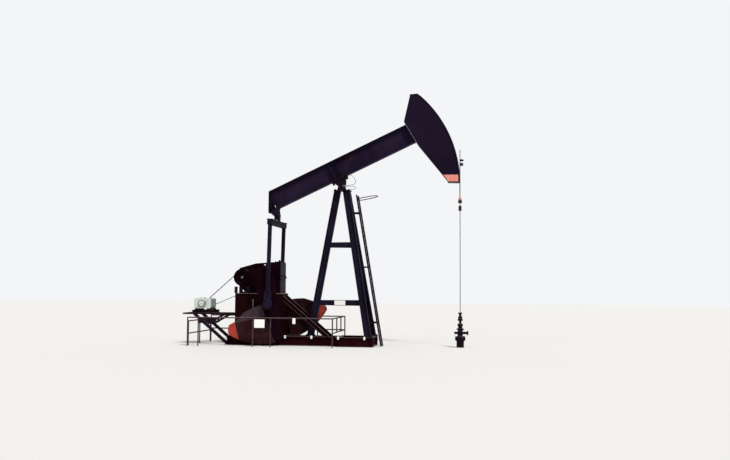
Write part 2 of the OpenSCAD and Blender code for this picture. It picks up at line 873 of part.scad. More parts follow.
// Electric motor: ribbed housing, end bells, fan cover and terminal box
module motor() {
    edge = motor_h / 8;
    rib = edge / 2;
    body_y = -motor_l / 10;
    bell_l = motor_l / 9;
    color(motor_green)
        translate(motor_pos)
            difference() {
                union() {
                    plate(motor_l, body_y)
                        polygon([[-motor_w / 2 + edge, -motor_h / 2], [motor_w / 2 - edge, -motor_h / 2],
                            [motor_w / 2, edge - motor_h / 2], [motor_w / 2, motor_h / 2 - edge],
                            [motor_w / 2 - edge, motor_h / 2], [edge - motor_w / 2, motor_h / 2],
                            [-motor_w / 2, motor_h / 2 - edge], [-motor_w / 2, edge - motor_h / 2]]);
                    for (share = [-0.42:0.12:0.42])
                        translate([-motor_w / 2 - rib / 4, body_y + share * motor_l - rib / 2, -0.3 * motor_h])
                            cube([motor_w + rib / 2, rib, 0.6 * motor_h]);
                    rod_y(bell_r, motor_l + 2 * bell_l, body_y);
                    rod_y(0.8 * bell_r, bell_l, body_y - motor_l / 2 - 1.2 * bell_l);
                    translate([-0.3 * motor_w, body_y - motor_l / 6, 0])
                        cube([0.3 * motor_w, motor_l / 3, motor_h / 2 + edge / 2]);
                }
                rod_y(motor_shaft_r + fit, motor_l, body_y + motor_l);
            }
}

// Points round both sheaves at a distance above their pitch circles
function belt_path(grow, centres, spread) =
    let (big = sheave_r + grow, small = motor_sheave_r + grow, turns = 48)
    concat(
        [for (i = [0:turns]) let (a = 90 - spread + (180 + 2 * spread) * i / turns) [big * cos(a), big * sin(a)]],
        [for (i = [0:turns / 2]) let (a = spread - 90 + (180 - 2 * spread) * i * 2 / turns)
            [centres + small * cos(a), small * sin(a)]]);

// Belt set, one fixed loop round both sheaves
module belt() {
    run = motor_pos - input_pos;
    centres = norm(run);
    spread = asin((sheave_r - motor_sheave_r) / centres);
    color(belt_black)
        translate(input_pos)
            rotate([0, -atan2(run[2], run[0]), 0])
                plate(sheave_w - 2 * (lip_t + lip_gap), sheave_y + sheave_w / 2)
                    difference() {
                        polygon(belt_path(belt_t, centres, spread));
                        polygon(belt_path(belt_seat, centres, spread));
                    }
}

// A straight run of guard rail with posts, along X at one side
module guard_side(y, heights, shares) {
    for (z = heights)
        translate([-guard_rear, y, z])
            rotate([0, 90, 0])
                cylinder(r = guard_r, h = guard_rear - guard_front);
    for (share = shares)
        translate([-guard_front - share * (guard_rear - guard_front), y, 0])
            cylinder(r = guard_r, h = guard_h);
}

module guard_near() {
    color(rail_brown)
        guard_side(-guard_y, [guard_h], [0, 0.422, 0.544, 0.925, 1]);
}

module guard_far() {
    color(rail_brown)
        guard_side(guard_y, [guard_h, guard_h / 2], [0:0.2:1]);
}

// A panel across one end of the guard, between the corner posts, with upright bars
module guard_panel(x, top, bar_low, bars) {
    gap = guard_r + fit;
    color(rail_brown)
        translate([x, 0, 0]) {
            for (z = [top, top / 2])
                translate([0, 0, z])
                    rod_y(guard_r, 2 * (guard_y - gap));
            for (share = bars)
                translate([0, share * guard_y, bar_low])
                    cylinder(r = guard_r, h = top - bar_low);
        }
}

module guard_rear_end() {
    guard_panel(-guard_rear, gate_h, 0, [-0.93, 0, 0.93]);
}

module guard_front_end() {
    guard_panel(-guard_front, guard_h, guard_h / 2, [-0.33, 0.33]);
}

// A turned column about the polished rod: pairs of radius and height from the bottom up, bored for the rod
module column(steps, bore, low, high) {
    color(steel_black)
        translate([rod_x, 0, 0])
            difference() {
                rotate_extrude()
                    polygon(concat([[0, low]], steps, [[0, high]]));
                translate([0, 0, low - eps])
                    cylinder(r = bore, h = high - low + 2 * eps);
            }
}

// Casing head: flanges, neck and plugged side outlets
module casing_head() {
    neck_r = 0.7 * casing_r;
    flange_r = 1.4 * casing_r;
    flange_h = 0.35 * casing_r;
    deck_z = 0.62 * outlet_z;
    column([[casing_r, 0], [casing_r, deck_z - 2 * flange_h], [flange_r, deck_z - flange_h],
        [flange_r, deck_z + flange_h], [casing_r, deck_z + 1.3 * flange_h], [neck_r, outlet_z - neck_r],
        [neck_r, outlet_z + neck_r], [casing_r, joint_z - flange_h / 2], [casing_r, joint_z]],
        2.5 * rod_r, 0, joint_z);
    color(steel_black)
        difference() {
            translate([rod_x, 0, outlet_z])
                rotate([0, 90, 0]) {
                    cylinder(r = neck_r / 2, h = outlet_l);
                    translate([0, 0, outlet_l - flange_h])
                        cylinder(r = 0.8 * neck_r, h = flange_h);
                    mirror([0, 0, 1])
                        cylinder(r = neck_r / 2, h = 0.75 * outlet_l);
                }
            translate([rod_x, 0, 0])
                cylinder(r = 2.5 * rod_r, h = joint_z);
        }
}

// Valve on the casing head's near side: bonnet, stem and spoked handwheel
module valve_wheel() {
    neck_r = 0.7 * casing_r;
    rim_r = wheel_r / 9;
    wheel_y = -0.8 * outlet_l;
    color(steel_black)
        translate([rod_x, 0, outlet_z]) {
            rod_y(0.6 * neck_r, outlet_l / 3, -neck_r - outlet_l / 6 - fit);
            rod_y(rim_r, -wheel_y - neck_r, (wheel_y - neck_r) / 2 - fit);
            translate([0, wheel_y, 0])
                rotate([90, 0, 0]) {
                    rotate_extrude()
                        translate([wheel_r, 0])
                            circle(r = rim_r, $fn = 16);
                    cylinder(r = 2 * rim_r, h = 2 * rim_r, center = true);
                    for (turn = [0:60:120])
                        rotate(turn)
                            cube([2 * wheel_r, rim_r, rim_r], center = true);
                }
        }
}

// Pumping tee and stuffing box
module stuffing_box() {
    run = gland_z - joint_z;
    body_r = 0.55 * casing_r;
    tee_r = 0.72 * casing_r;
    neck_r = 0.34 * casing_r;
    column([for (p = [[body_r, 0], [body_r, 0.14], [tee_r, 0.15], [tee_r, 0.29], [body_r, 0.32],
        [neck_r, 0.34], [neck_r, 0.48], [0.95 * tee_r, 0.49], [0.95 * tee_r, 0.6], [body_r, 0.62],
        [body_r, 0.75], [neck_r, 0.78], [neck_r, 0.9], [body_r, 0.92], [body_r, 0.98], [neck_r, 1]])
            [p[0], joint_z + p[1] * run]],
        rod_r + fit, joint_z, gland_z);
}

// Crankshaft with its keyed ends
module crankshaft() {
    color(rod_steel)
        translate(crank_pos)
            rod_y(crankshaft_r, 2 * (crank_y + crank_t) - 40);
}

// Half width of a crank at a distance from the shaft
function crank_half(s) = crank_hub_half + (crank_tip_half - crank_hub_half) * s / crank_reach;

// Crank outline: X along the crank, Y toward the well
module crank_outline() {
    tip = 0.53 * crank_tip_half;
    polygon([
        [0, crank_hub_half], [crank_reach - tip, crank_half(crank_reach - tip)],
        [crank_reach, crank_half(crank_reach) - tip], [crank_reach, -crank_half(crank_reach) + tip],
        [crank_reach - tip, -crank_half(crank_reach - tip)], [0, -crank_hub_half]]);
    circle(r = crank_hub_half);
}

// A crank on one side of the unit, with its hub boss and wrist pin
module crank(side) {
    mid = side * (crank_y + crank_t / 2);
    pin_len = pitman_y - wrist_w / 2 - 10 - crank_y - crank_t;
    boss_r = 2.2 * crankshaft_r;
    color(steel_black)
        at_crank() {
            difference() {
                union() {
                    plate(crank_t, mid)
                        crank_outline();
                    rod_y(boss_r, crank_t + 2 * crank_boss_t, mid);
                }
                rod_y(crankshaft_r + fit, 2 * (crank_y + crank_t));
            }
            translate([crank_throw, 0, 0])
                rod_y(wrist_pin_r, pin_len, side * (crank_y + crank_t + pin_len / 2));
            translate([crank_throw, 0, 0])
                rod_y(1.5 * wrist_pin_r, pin_len / 3, side * (crank_y + crank_t + pin_len / 6));
        }
}

module crank_near() {
    crank(-1);
}

module crank_far() {
    crank(1);
}

// Outline of a counterweight on the +Y side of the crank outline
module weight_outline() {
    run = weight_r - weight_start;
    past = 1.1 * weight_r;
    intersection() {
        circle(r = weight_r, $fn = 360);
        polygon(concat([[weight_start, crank_half(weight_start) + fit]],
            [for (p = [[0.03, 0.41], [0.07, 0.57], [0.18, 0.72], [0.24, 0.8], [0.285, 0.945],
                [0.36, 0.985], [0.45, 1]]) [weight_start + p[0] * run, p[1] * weight_half]],
            [[past, weight_half], [past, crank_half(past) + fit]]));
    }
}

// A counterweight: side is its side of the unit, lobe its side of the crank
module weight(side, lobe) {
    slope_end = weight_start + 3.4 * weight_slope;
    color(steel_red)
        at_crank()
            translate([0, side * (crank_y + crank_t / 2), 0])
                mirror([0, side > 0 ? 0 : 1, 0])
                    mirror([0, 0, lobe > 0 ? 0 : 1])
                        difference() {
                            plate(weight_t)
                                weight_outline();
                            linear_extrude(2 * weight_half)
                                polygon([[slope_end, weight_t / 2], [slope_end, weight_t / 2 + eps],
                                    [weight_start - eps, weight_t / 2 + eps],
                                    [weight_start - eps, weight_t / 2 - weight_slope]]);
                        }
}

module weight_near() {
    weight(-1, -1);
}

module weight_far() {
    weight(1, 1);
}

// A strip between two points of the beam's frame, given its thickness below the line
module strip(a, b, thick) {
    dir = (b - a) / norm(b - a);
    down = [dir[1], -dir[0]] * thick;
    polygon([a, b, b + down, a + down]);
}

// Walking beam: web, flanges, end plate and stiffeners
module walking_beam() {
    color(steel_red)
        at_beam() {
            plate(beam_web_t)
                polygon([[beam_rear_low, beam_low], [beam_front, beam_low],
                    [beam_front_top, beam_top], [beam_rear_top, beam_top]]);
            plate(beam_flange_w) {
                flange_in = beam_flange_t * tan(beam_tilt);
                flange_out = beam_flange_t * tan(beam_front_slope);
                polygon([[beam_rear_low, beam_low], [beam_front, beam_low],
                    [beam_front - flange_out, beam_low + beam_flange_t],
                    [beam_rear_low + flange_in, beam_low + beam_flange_t]]);
                polygon([[beam_rear_top - flange_in, beam_top - beam_flange_t],
                    [beam_front_top + flange_out, beam_top - beam_flange_t],
                    [beam_front_top, beam_top], [beam_rear_top, beam_top]]);
                strip([beam_rear_low, beam_low], [beam_rear_top, beam_top], stiffener_t);
                for (u = [-0.23 * saddle_plate_l, 0.23 * saddle_plate_l, -tail_arm - 1.3 * tail_pin_r,
                    -tail_arm + 2.7 * tail_pin_r])
                    translate([u - stiffener_t / 2, beam_low])
                        square([stiffener_t, beam_depth * (u < -tail_arm / 2 ? 0.55 : 1)]);
            }
        }
}

// Saddle bearing housing and plate, hung from the beam
module saddle_bearing() {
    under = beam_low - saddle_plate_t;
    plate_w = beam_flange_w + 80;
    color(steel_black)
        at_beam()
            difference() {
                union() {
                    plate(saddle_w)
                        polygon([[-saddle_plate_l * 0.4, under], [-saddle_housing_r, -saddle_shaft_r],
                            [saddle_housing_r, -saddle_shaft_r], [saddle_plate_l * 0.4, under]]);
                    rod_y(saddle_housing_r, saddle_w);
                    translate([-saddle_plate_l / 2, -plate_w / 2, under])
                        cube([saddle_plate_l, plate_w, saddle_plate_t]);
                }
                rod_y(saddle_shaft_r + fit, 2 * saddle_w);
            }
}

// Bracket under the beam's tail that holds the tail pin
module tail_bracket() {
    cheek_y = (tail_w + tail_cheek_t) / 2 + saddle_gap + 2;
    cheek_r = 2.1 * tail_pin_r;
    under = beam_low - saddle_plate_t;
    plate_w = 2 * cheek_y + tail_cheek_t + 20;
    color(steel_black)
        at_beam()
            translate([-tail_arm, 0, 0]) {
                translate([-4.4 * tail_pin_r, -plate_w / 2, under])
                    cube([8.4 * tail_pin_r, plate_w, saddle_plate_t]);
                for (side = [-1, 1])
                    plate(tail_cheek_t, side * cheek_y) {
                        polygon([[-2 * cheek_r, under], [-cheek_r, 0], [cheek_r, 0], [1.6 * cheek_r, under]]);
                        circle(r = cheek_r);
                    }
                rod_y(tail_pin_r, 2 * cheek_y + tail_cheek_t + 30);
            }
}

// Corner points of the horsehead in the beam's frame, apart from its arc
function front_end(v) = beam_front + fit - (v - beam_low) * tan(beam_front_slope);
function on_track(a, r) = [r * cos(a), r * sin(a)];
head_back_low = [front_end(beam_low - head_past), beam_low - head_past];
head_back_up = [front_end(beam_top + head_past), beam_top + head_past];
head_top_back = on_track(track_up, track_r) + [-crown_d, crown_rise];
head_chin = on_track(-track_down, track_r) + [-chin_d, chin_rise];

// Side outline of the horsehead: straight back, crown and chin, and a round track
module head_outline(r) {
    past = r / cos(track_up);
    intersection() {
        circle(r = r, $fn = 720);
        polygon([head_back_up, head_top_back, on_track(track_up, r), on_track(track_up, 1.1 * past),
            on_track(-track_down, 1.1 * past), head_chin, head_chin + [0, head_past], head_back_low]);
    }
}

// Room inside the horsehead's rim
module head_room() {
    intersection() {
        circle(r = track_r - track_t, $fn = 720);
        offset(delta = -head_plate_t)
            head_outline(track_r);
    }
}

// A side plate of the horsehead, set in from the rim
module horsehead_side(side) {
    color(steel_black)
        at_beam()
            plate(head_plate_t, side * (head_w / 2 - head_inset - head_plate_t / 2))
                head_room();
}

module horsehead_side_near() {
    horsehead_side(-1);
}

module horsehead_side_far() {
    horsehead_side(1);
}

// Rim of the horsehead: track plate, crown, chin and back plates
module horsehead_rim() {
    color(rim_black)
        at_beam()
            plate(head_w)
                difference() {
                    head_outline(track_r);
                    head_room();
                }
}

// Wire lines on the horsehead's track, from the crown to the bottom
module head_wires() {
    color(wire_grey)
        at_beam()
            for (side = [-1, 1])
                translate([0, side * wire_gap / 2, 0])
                    rotate([90, 0, 0])
                        rotate([0, 0, -track_down])
                            rotate_extrude(angle = track_up + track_down - 1, $fn = 240)
                                translate([wire_x, 0])
                                    circle(r = wire_r, $fn = 16);
}

// Equaliser beam with the tail bearing housing and a cap plate over each pitman
module equaliser() {
    past = 0.7 * pitman_w;
    neck = 4.4 * tail_pin_r;
    cap_t = equaliser_h / 10;
    color(steel_black)
        at_pitman()
            difference() {
                union() {
                    rod_y(2.3 * tail_pin_r, tail_w);
                    translate([-neck / 2, -tail_w / 2, -equaliser_drop])
                        cube([neck, tail_w, equaliser_drop - tail_pin_r / 2]);
                    translate([-equaliser_t / 2, -pitman_y - past, -equaliser_drop - equaliser_h / 2])
                        cube([equaliser_t, 2 * (pitman_y + past), equaliser_h]);
                    for (side = [-1, 1])
                        translate([-0.6 * equaliser_t, side * pitman_y - 0.8 * pitman_w,
                            equaliser_h / 2 - equaliser_drop - cap_t / 2])
                            cube([1.2 * equaliser_t, 1.6 * pitman_w, cap_t]);
                }
                rod_y(tail_pin_r + fit, 2 * tail_w);
            }
}

// A pitman with its shoulder, wrist pin bearing housing and bearing cap
module pitman(side) {
    top = -equaliser_drop - equaliser_h / 2;
    housing_z = -pitman_len + 0.8 * wrist_r;
    shoulder = 0.75 * wrist_r;
    color(steel_black)
        at_pitman() {
            translate([-pitman_d / 2, side * pitman_y - pitman_w / 2, housing_z])
                cube([pitman_d, pitman_w, top - housing_z]);
            translate([0, 0, -pitman_len]) {
                rod_y(wrist_r, wrist_w, side * pitman_y);
                rod_y(0.6 * wrist_r, wrist_w / 8, side * (pitman_y + 0.56 * wrist_w));
            }
            plate(pitman_w, side * pitman_y)
                translate([0, -pitman_len])
                    polygon([[-shoulder, wrist_r / 3], [shoulder, wrist_r / 3],
                        [shoulder, 2.3 * wrist_r], [pitman_d / 2, 3.4 * wrist_r],
                        [-pitman_d / 2, 3.4 * wrist_r], [-shoulder, 2.3 * wrist_r]]);
        }
}

module pitman_near() {
    pitman(-1);
}

module pitman_far() {
    pitman(1);
}

// Polished rod with its upper and lower clamps and the keeper above the carrier bar
module polished_rod() {
    spare_l = 7.5 * rod_r;
    spare_w = 5.6 * rod_r;
    collar_r = 3.75 * rod_r;
    keeper_l = 7.5 * rod_r;
    keeper_w = 5 * rod_r;
    color(rod_steel)
        translate([rod_x, 0, 0]) {
            translate([0, 0, rod_end_z])
                cylinder(r = rod_r, h = rod_top_z - rod_end_z);
            translate([-rod_r - rod_gap / 2, -spare_w / 2, spare_clamp_z - 0.3 * clamp_h])
                cube([spare_l, spare_w, 0.6 * clamp_h]);
            translate([0, 0, lower_clamp_z - clamp_h / 2])
                cylinder(r = collar_r, h = clamp_h);
            translate([-keeper_l / 2, -keeper_w / 2, carrier_z + carrier_h + fit])
                cube([keeper_l, keeper_w, keeper_w]);
        }
}

// Carrier bar with the wire lines' sockets
module carrier_bar() {
    bar_l = wire_gap + carrier_w;
    color(steel_grey)
        translate([rod_x, 0, 0])
            difference() {
                union() {
                    translate([-carrier_w / 2, -bar_l / 2, carrier_z])
                        cube([carrier_w, bar_l, carrier_h]);
                    for (side = [-1, 1])
                        translate([wire_x - rod_x, side * wire_gap / 2, carrier_z + carrier_h])
                            cylinder(r1 = 2.4 * wire_r, r2 = 1.6 * wire_r, h = socket_h);
                }
                translate([0, 0, carrier_z - eps])
                    cylinder(r = rod_r + fit, h = carrier_h + 2 * eps);
            }
}

// Free length of the wire lines between the horsehead and the carrier bar
module hanger_wires() {
    start = carrier_z + carrier_h + socket_h + fit;
    color(wire_grey)
        for (side = [-1, 1])
            translate([wire_x, side * wire_gap / 2, start])
                cylinder(r = wire_r, h = saddle_z - start);
}

// Input shaft of the gearbox
module input_shaft() {
    color(rod_steel)
        translate(input_pos)
            rod_y(input_r, 2 * (sheave_y + sheave_w));
}

// Large sheave on the input shaft
module gearbox_sheave() {
    color(steel_grey)
        translate(input_pos)
            sheave(sheave_r, input_r);
}

// A sheave with rim flanges beside its belts and a dished web with round holes, bored for its shaft
module sheave(r, bore) {
    rim = sheave_w / 2;
    mid = sheave_y + sheave_w / 2;
    hub_r = bore + 0.1 * r;
    difference() {
        union() {
            rod_y(r, sheave_w, mid);
            for (side = [-1, 1])
                rod_y(r + 1.2 * belt_t, lip_t, mid + side * (sheave_w - lip_t) / 2);
        }
        for (side = [-1, 1])
            difference() {
                rod_y(r - rim, sheave_w, mid + side * 0.7 * sheave_w);
                rod_y(hub_r, 3 * sheave_w, mid);
            }
        for (turn = [0:72:288])
            rotate([0, turn, 0])
                translate([(r - rim + hub_r) / 2, 0, 0])
                    rod_y((r - rim - hub_r) * 0.3, 3 * sheave_w, mid);
        rod_y(bore, 3 * sheave_w, mid);
    }
}

// Brake drum on the input shaft, dished in two steps round its hub
module brake_drum() {
    mid = -sheave_y - 0.55 * brake_w;
    face = mid - brake_w / 2;
    color(steel_grey)
        translate(input_pos)
            difference() {
                rod_y(brake_r, brake_w, mid);
                difference() {
                    rod_y(0.9 * brake_r, brake_w, face);
                    rod_y(0.78 * brake_r, 3 * brake_w, face);
                }
                difference() {
                    rod_y(0.68 * brake_r, 1.2 * brake_w, face);
                    rod_y(2.2 * input_r, 3 * brake_w, face);
                }
                rod_y(input_r, 3 * brake_w, mid);
            }
}

// Small sheave and shaft of the motor
module motor_sheave() {
    shaft_in = 0.44 * motor_l;
    color(steel_grey)
        translate(motor_pos) {
            sheave(motor_sheave_r, motor_shaft_r);
            rod_y(motor_shaft_r, sheave_y + sheave_w - shaft_in, (sheave_y + sheave_w + shaft_in) / 2);
        }
}

base_rear();
base_front();
pedestal();
gearbox_case();
gearbox_cover();
saddle_stand();
post_rear_leg();
post_front_leg_near();
post_front_leg_far();
post_ties();
ladder();
ladder_hoop();
strut_near();
strut_far();
motor_stand();
motor_slide();
motor();
belt();
guard_near();
guard_far();
guard_rear_end();
guard_front_end();
casing_head();
valve_wheel();
stuffing_box();
crankshaft();
crank_near();
crank_far();
weight_near();
weight_far();
walking_beam();
saddle_bearing();
tail_bracket();
horsehead_side_near();
horsehead_side_far();
horsehead_rim();
head_wires();
equaliser();
pitman_near();
pitman_far();
polished_rod();
carrier_bar();
hanger_wires();
input_shaft();
gearbox_sheave();
brake_drum();
motor_sheave();
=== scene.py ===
"""Dresses the beam pumping unit: paint and metal finishes, bolts, small fittings, floor, light and camera."""
import json
import logging
import math
from collections.abc import Sequence
from dataclasses import dataclass, field
from enum import Enum
from itertools import product

import bmesh
import bpy
from mathutils import Matrix, Vector


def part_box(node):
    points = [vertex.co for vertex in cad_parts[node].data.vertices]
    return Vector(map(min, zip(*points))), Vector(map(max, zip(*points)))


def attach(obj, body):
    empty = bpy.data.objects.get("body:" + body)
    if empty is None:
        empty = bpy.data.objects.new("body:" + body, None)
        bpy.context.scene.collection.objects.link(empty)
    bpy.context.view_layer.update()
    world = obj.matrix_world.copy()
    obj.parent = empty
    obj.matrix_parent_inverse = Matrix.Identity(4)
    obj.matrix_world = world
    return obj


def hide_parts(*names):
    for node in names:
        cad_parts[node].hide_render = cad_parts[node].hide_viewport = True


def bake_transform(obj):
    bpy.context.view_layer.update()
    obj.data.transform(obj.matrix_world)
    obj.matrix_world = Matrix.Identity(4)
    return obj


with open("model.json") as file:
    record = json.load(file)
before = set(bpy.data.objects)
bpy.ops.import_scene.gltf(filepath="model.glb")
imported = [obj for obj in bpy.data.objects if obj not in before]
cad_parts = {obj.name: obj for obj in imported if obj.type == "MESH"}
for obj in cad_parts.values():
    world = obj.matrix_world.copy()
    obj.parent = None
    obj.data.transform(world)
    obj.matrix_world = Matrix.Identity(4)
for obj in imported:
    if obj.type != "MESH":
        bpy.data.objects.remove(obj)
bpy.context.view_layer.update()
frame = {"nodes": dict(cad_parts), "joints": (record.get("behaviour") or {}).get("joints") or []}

LOG = logging.getLogger("pumpjack")
MM = 0.001
ZERO = (0.0, 0.0, 0.0)
FORWARD = (1.0, 0.0, 0.0)
UPWARD = (0.0, 0.0, 1.0)

Triple = tuple[float, float, float]
Blocks = tuple[tuple[Triple, Triple], ...]
Materials = dict[str, bpy.types.Material]

# Washer, nut and stud end: radius, height and middle height as shares of the nut's width, and the sides.
BOLT_PARTS = ((0.8, 0.12, 0.06, 16), (0.56, 0.7, 0.47, 6), (0.3, 0.35, 0.99, 10))


class Body(Enum):
    """The bodies that fittings ride on, as the record names them."""

    FRAME = "frame"
    CRANKS = "cranks"
    BEAM = "beam"
    PITMANS = "pitmans"
    ROD = "rod_string"


class Side(Enum):
    """A direction that a bolt or a round piece points in, as a turn in degrees about an axis."""

    UP = (0.0, "X")
    DOWN = (180.0, "X")
    NEAR = (90.0, "X")
    FAR = (-90.0, "X")
    FRONT = (90.0, "Y")

    @property
    def turn(self) -> Matrix:
        """The rotation that brings Z to this direction."""
        return Matrix.Rotation(math.radians(self.value[0]), 4, self.value[1])


NEAR_AND_FAR = ((-1, Side.NEAR), (1, Side.FAR))


class Kind(Enum):
    """The node types that the finishes and the sky are made of."""

    PLACE = "ShaderNodeTexCoord"
    MAPPING = "ShaderNodeMapping"
    NOISE = "ShaderNodeTexNoise"
    WAVE = "ShaderNodeTexWave"
    RANGE = "ShaderNodeMapRange"
    MATH = "ShaderNodeMath"
    VECTOR = "ShaderNodeVectorMath"
    SPLIT = "ShaderNodeSeparateXYZ"
    MIX = "ShaderNodeMix"
    BUMP = "ShaderNodeBump"
    RAYS = "ShaderNodeLightPath"


def linear(colour: str) -> tuple[float, float, float, float]:
    """Turns an sRGB hex colour into a linear one.

    Args:
        colour: The colour as #rrggbb.

    Returns:
        Red, green, blue and an alpha of 1, in linear light.
    """
    parts = [int(colour[i:i + 2], 16) / 255 for i in (1, 3, 5)]
    light = [c / 12.92 if c <= 0.04045 else ((c + 0.055) / 1.055) ** 2.4 for c in parts]
    return (light[0], light[1], light[2], 1.0)


def add_node(tree: bpy.types.NodeTree, kind: Kind, settings: dict | None = None,
             links: dict | None = None) -> bpy.types.Node:
    """Adds a node with its settings and its incoming links.

    Args:
        tree: The material's node tree.
        kind: The node's type.
        settings: Values by socket name or number, or by attribute name.
        links: Output sockets by the input's name or number.

    Returns:
        The new node.
    """
    node = tree.nodes.new(kind.value)
    for key, value in (settings or {}).items():
        if isinstance(key, int) or key in node.inputs:
            node.inputs[key].default_value = value
        else:
            setattr(node, key, value)
    for key, socket in (links or {}).items():
        tree.links.new(socket, node.inputs[key])
    return node


def blank_material(name: str, roughness: float, metallic: float = 0.0,
                   gloss: float = 0.5) -> tuple[bpy.types.Material, bpy.types.NodeTree, bpy.types.Node]:
    """Makes a material with one principled shader whose constants are set on its own sockets.

    Args:
        name: The material's name.
        roughness: The shader's roughness.
        metallic: 1 for bare metal, 0 for paint and rubber.
        gloss: How strongly the surface mirrors, half for clean paint and less for chalked paint.

    Returns:
        The material, its node tree and its shader.
    """
    material = bpy.data.materials.new(name)
    material.use_nodes = True
    tree = material.node_tree
    shader = tree.nodes["Principled BSDF"]
    shader.inputs["Roughness"].default_value = roughness
    shader.inputs["Metallic"].default_value = metallic
    shader.inputs["Specular IOR Level"].default_value = gloss
    return material, tree, shader


@dataclass(frozen=True)
class Band:
    """A painted band across a piece, told by its place along one direction of the row's frame.

    direction is the unit direction, low and high are the band's edges along it in metres, centre is where the
    measure starts, and both_sides repeats the band on the other side of it. wear is the share of paint gone
    where a fine grain is over worn_at, and under whole_at none is. edge is half the width of its soft edge.
    """

    colour: str
    direction: Triple
    low: float
    high: float
    centre: Triple = ZERO
    both_sides: bool = False
    wear: float = 0.25
    worn_at: float = 0.62
    whole_at: float = 0.5
    edge: float = 0.004

    def paint(self, tree: bpy.types.NodeTree, where: bpy.types.NodeSocket, under: bpy.types.NodeSocket,
              grain: bpy.types.NodeSocket) -> bpy.types.NodeSocket:
        """Lays the band over a coat.

        Args:
            tree: The material's node tree.
            where: The place on the piece.
            under: The coat's colour.
            grain: A fine noise that wears the band.

        Returns:
            The colour with the band.
        """
        start = add_node(tree, Kind.VECTOR, {"operation": "SUBTRACT", 1: self.centre}, {0: where})
        along = add_node(tree, Kind.VECTOR, {"operation": "DOT_PRODUCT", 1: self.direction},
                         {0: start.outputs["Vector"]})
        measure = along.outputs["Value"]
        if self.both_sides:
            measure = add_node(tree, Kind.MATH, {"operation": "ABSOLUTE"}, {0: measure}).outputs[0]
        lower = add_node(tree, Kind.RANGE, {"From Min": self.low - self.edge,
                                            "From Max": self.low + self.edge}, {"Value": measure})
        upper = add_node(tree, Kind.RANGE, {"From Min": self.high + self.edge,
                                            "From Max": self.high - self.edge}, {"Value": measure})
        inside = add_node(tree, Kind.MATH, {"operation": "MULTIPLY"},
                          {0: lower.outputs["Result"], 1: upper.outputs["Result"]})
        kept = add_node(tree, Kind.RANGE, {"From Min": self.worn_at, "From Max": self.whole_at,
                                           "To Min": 1 - self.wear}, {"Value": grain})
        cover = add_node(tree, Kind.MATH, {"operation": "MULTIPLY"},
                         {0: inside.outputs[0], 1: kept.outputs["Result"]})
        mixed = add_node(tree, Kind.MIX, {"data_type": "RGBA", 7: linear(self.colour)},
                         {0: cover.outputs[0], 6: under})
        return mixed.outputs[2]


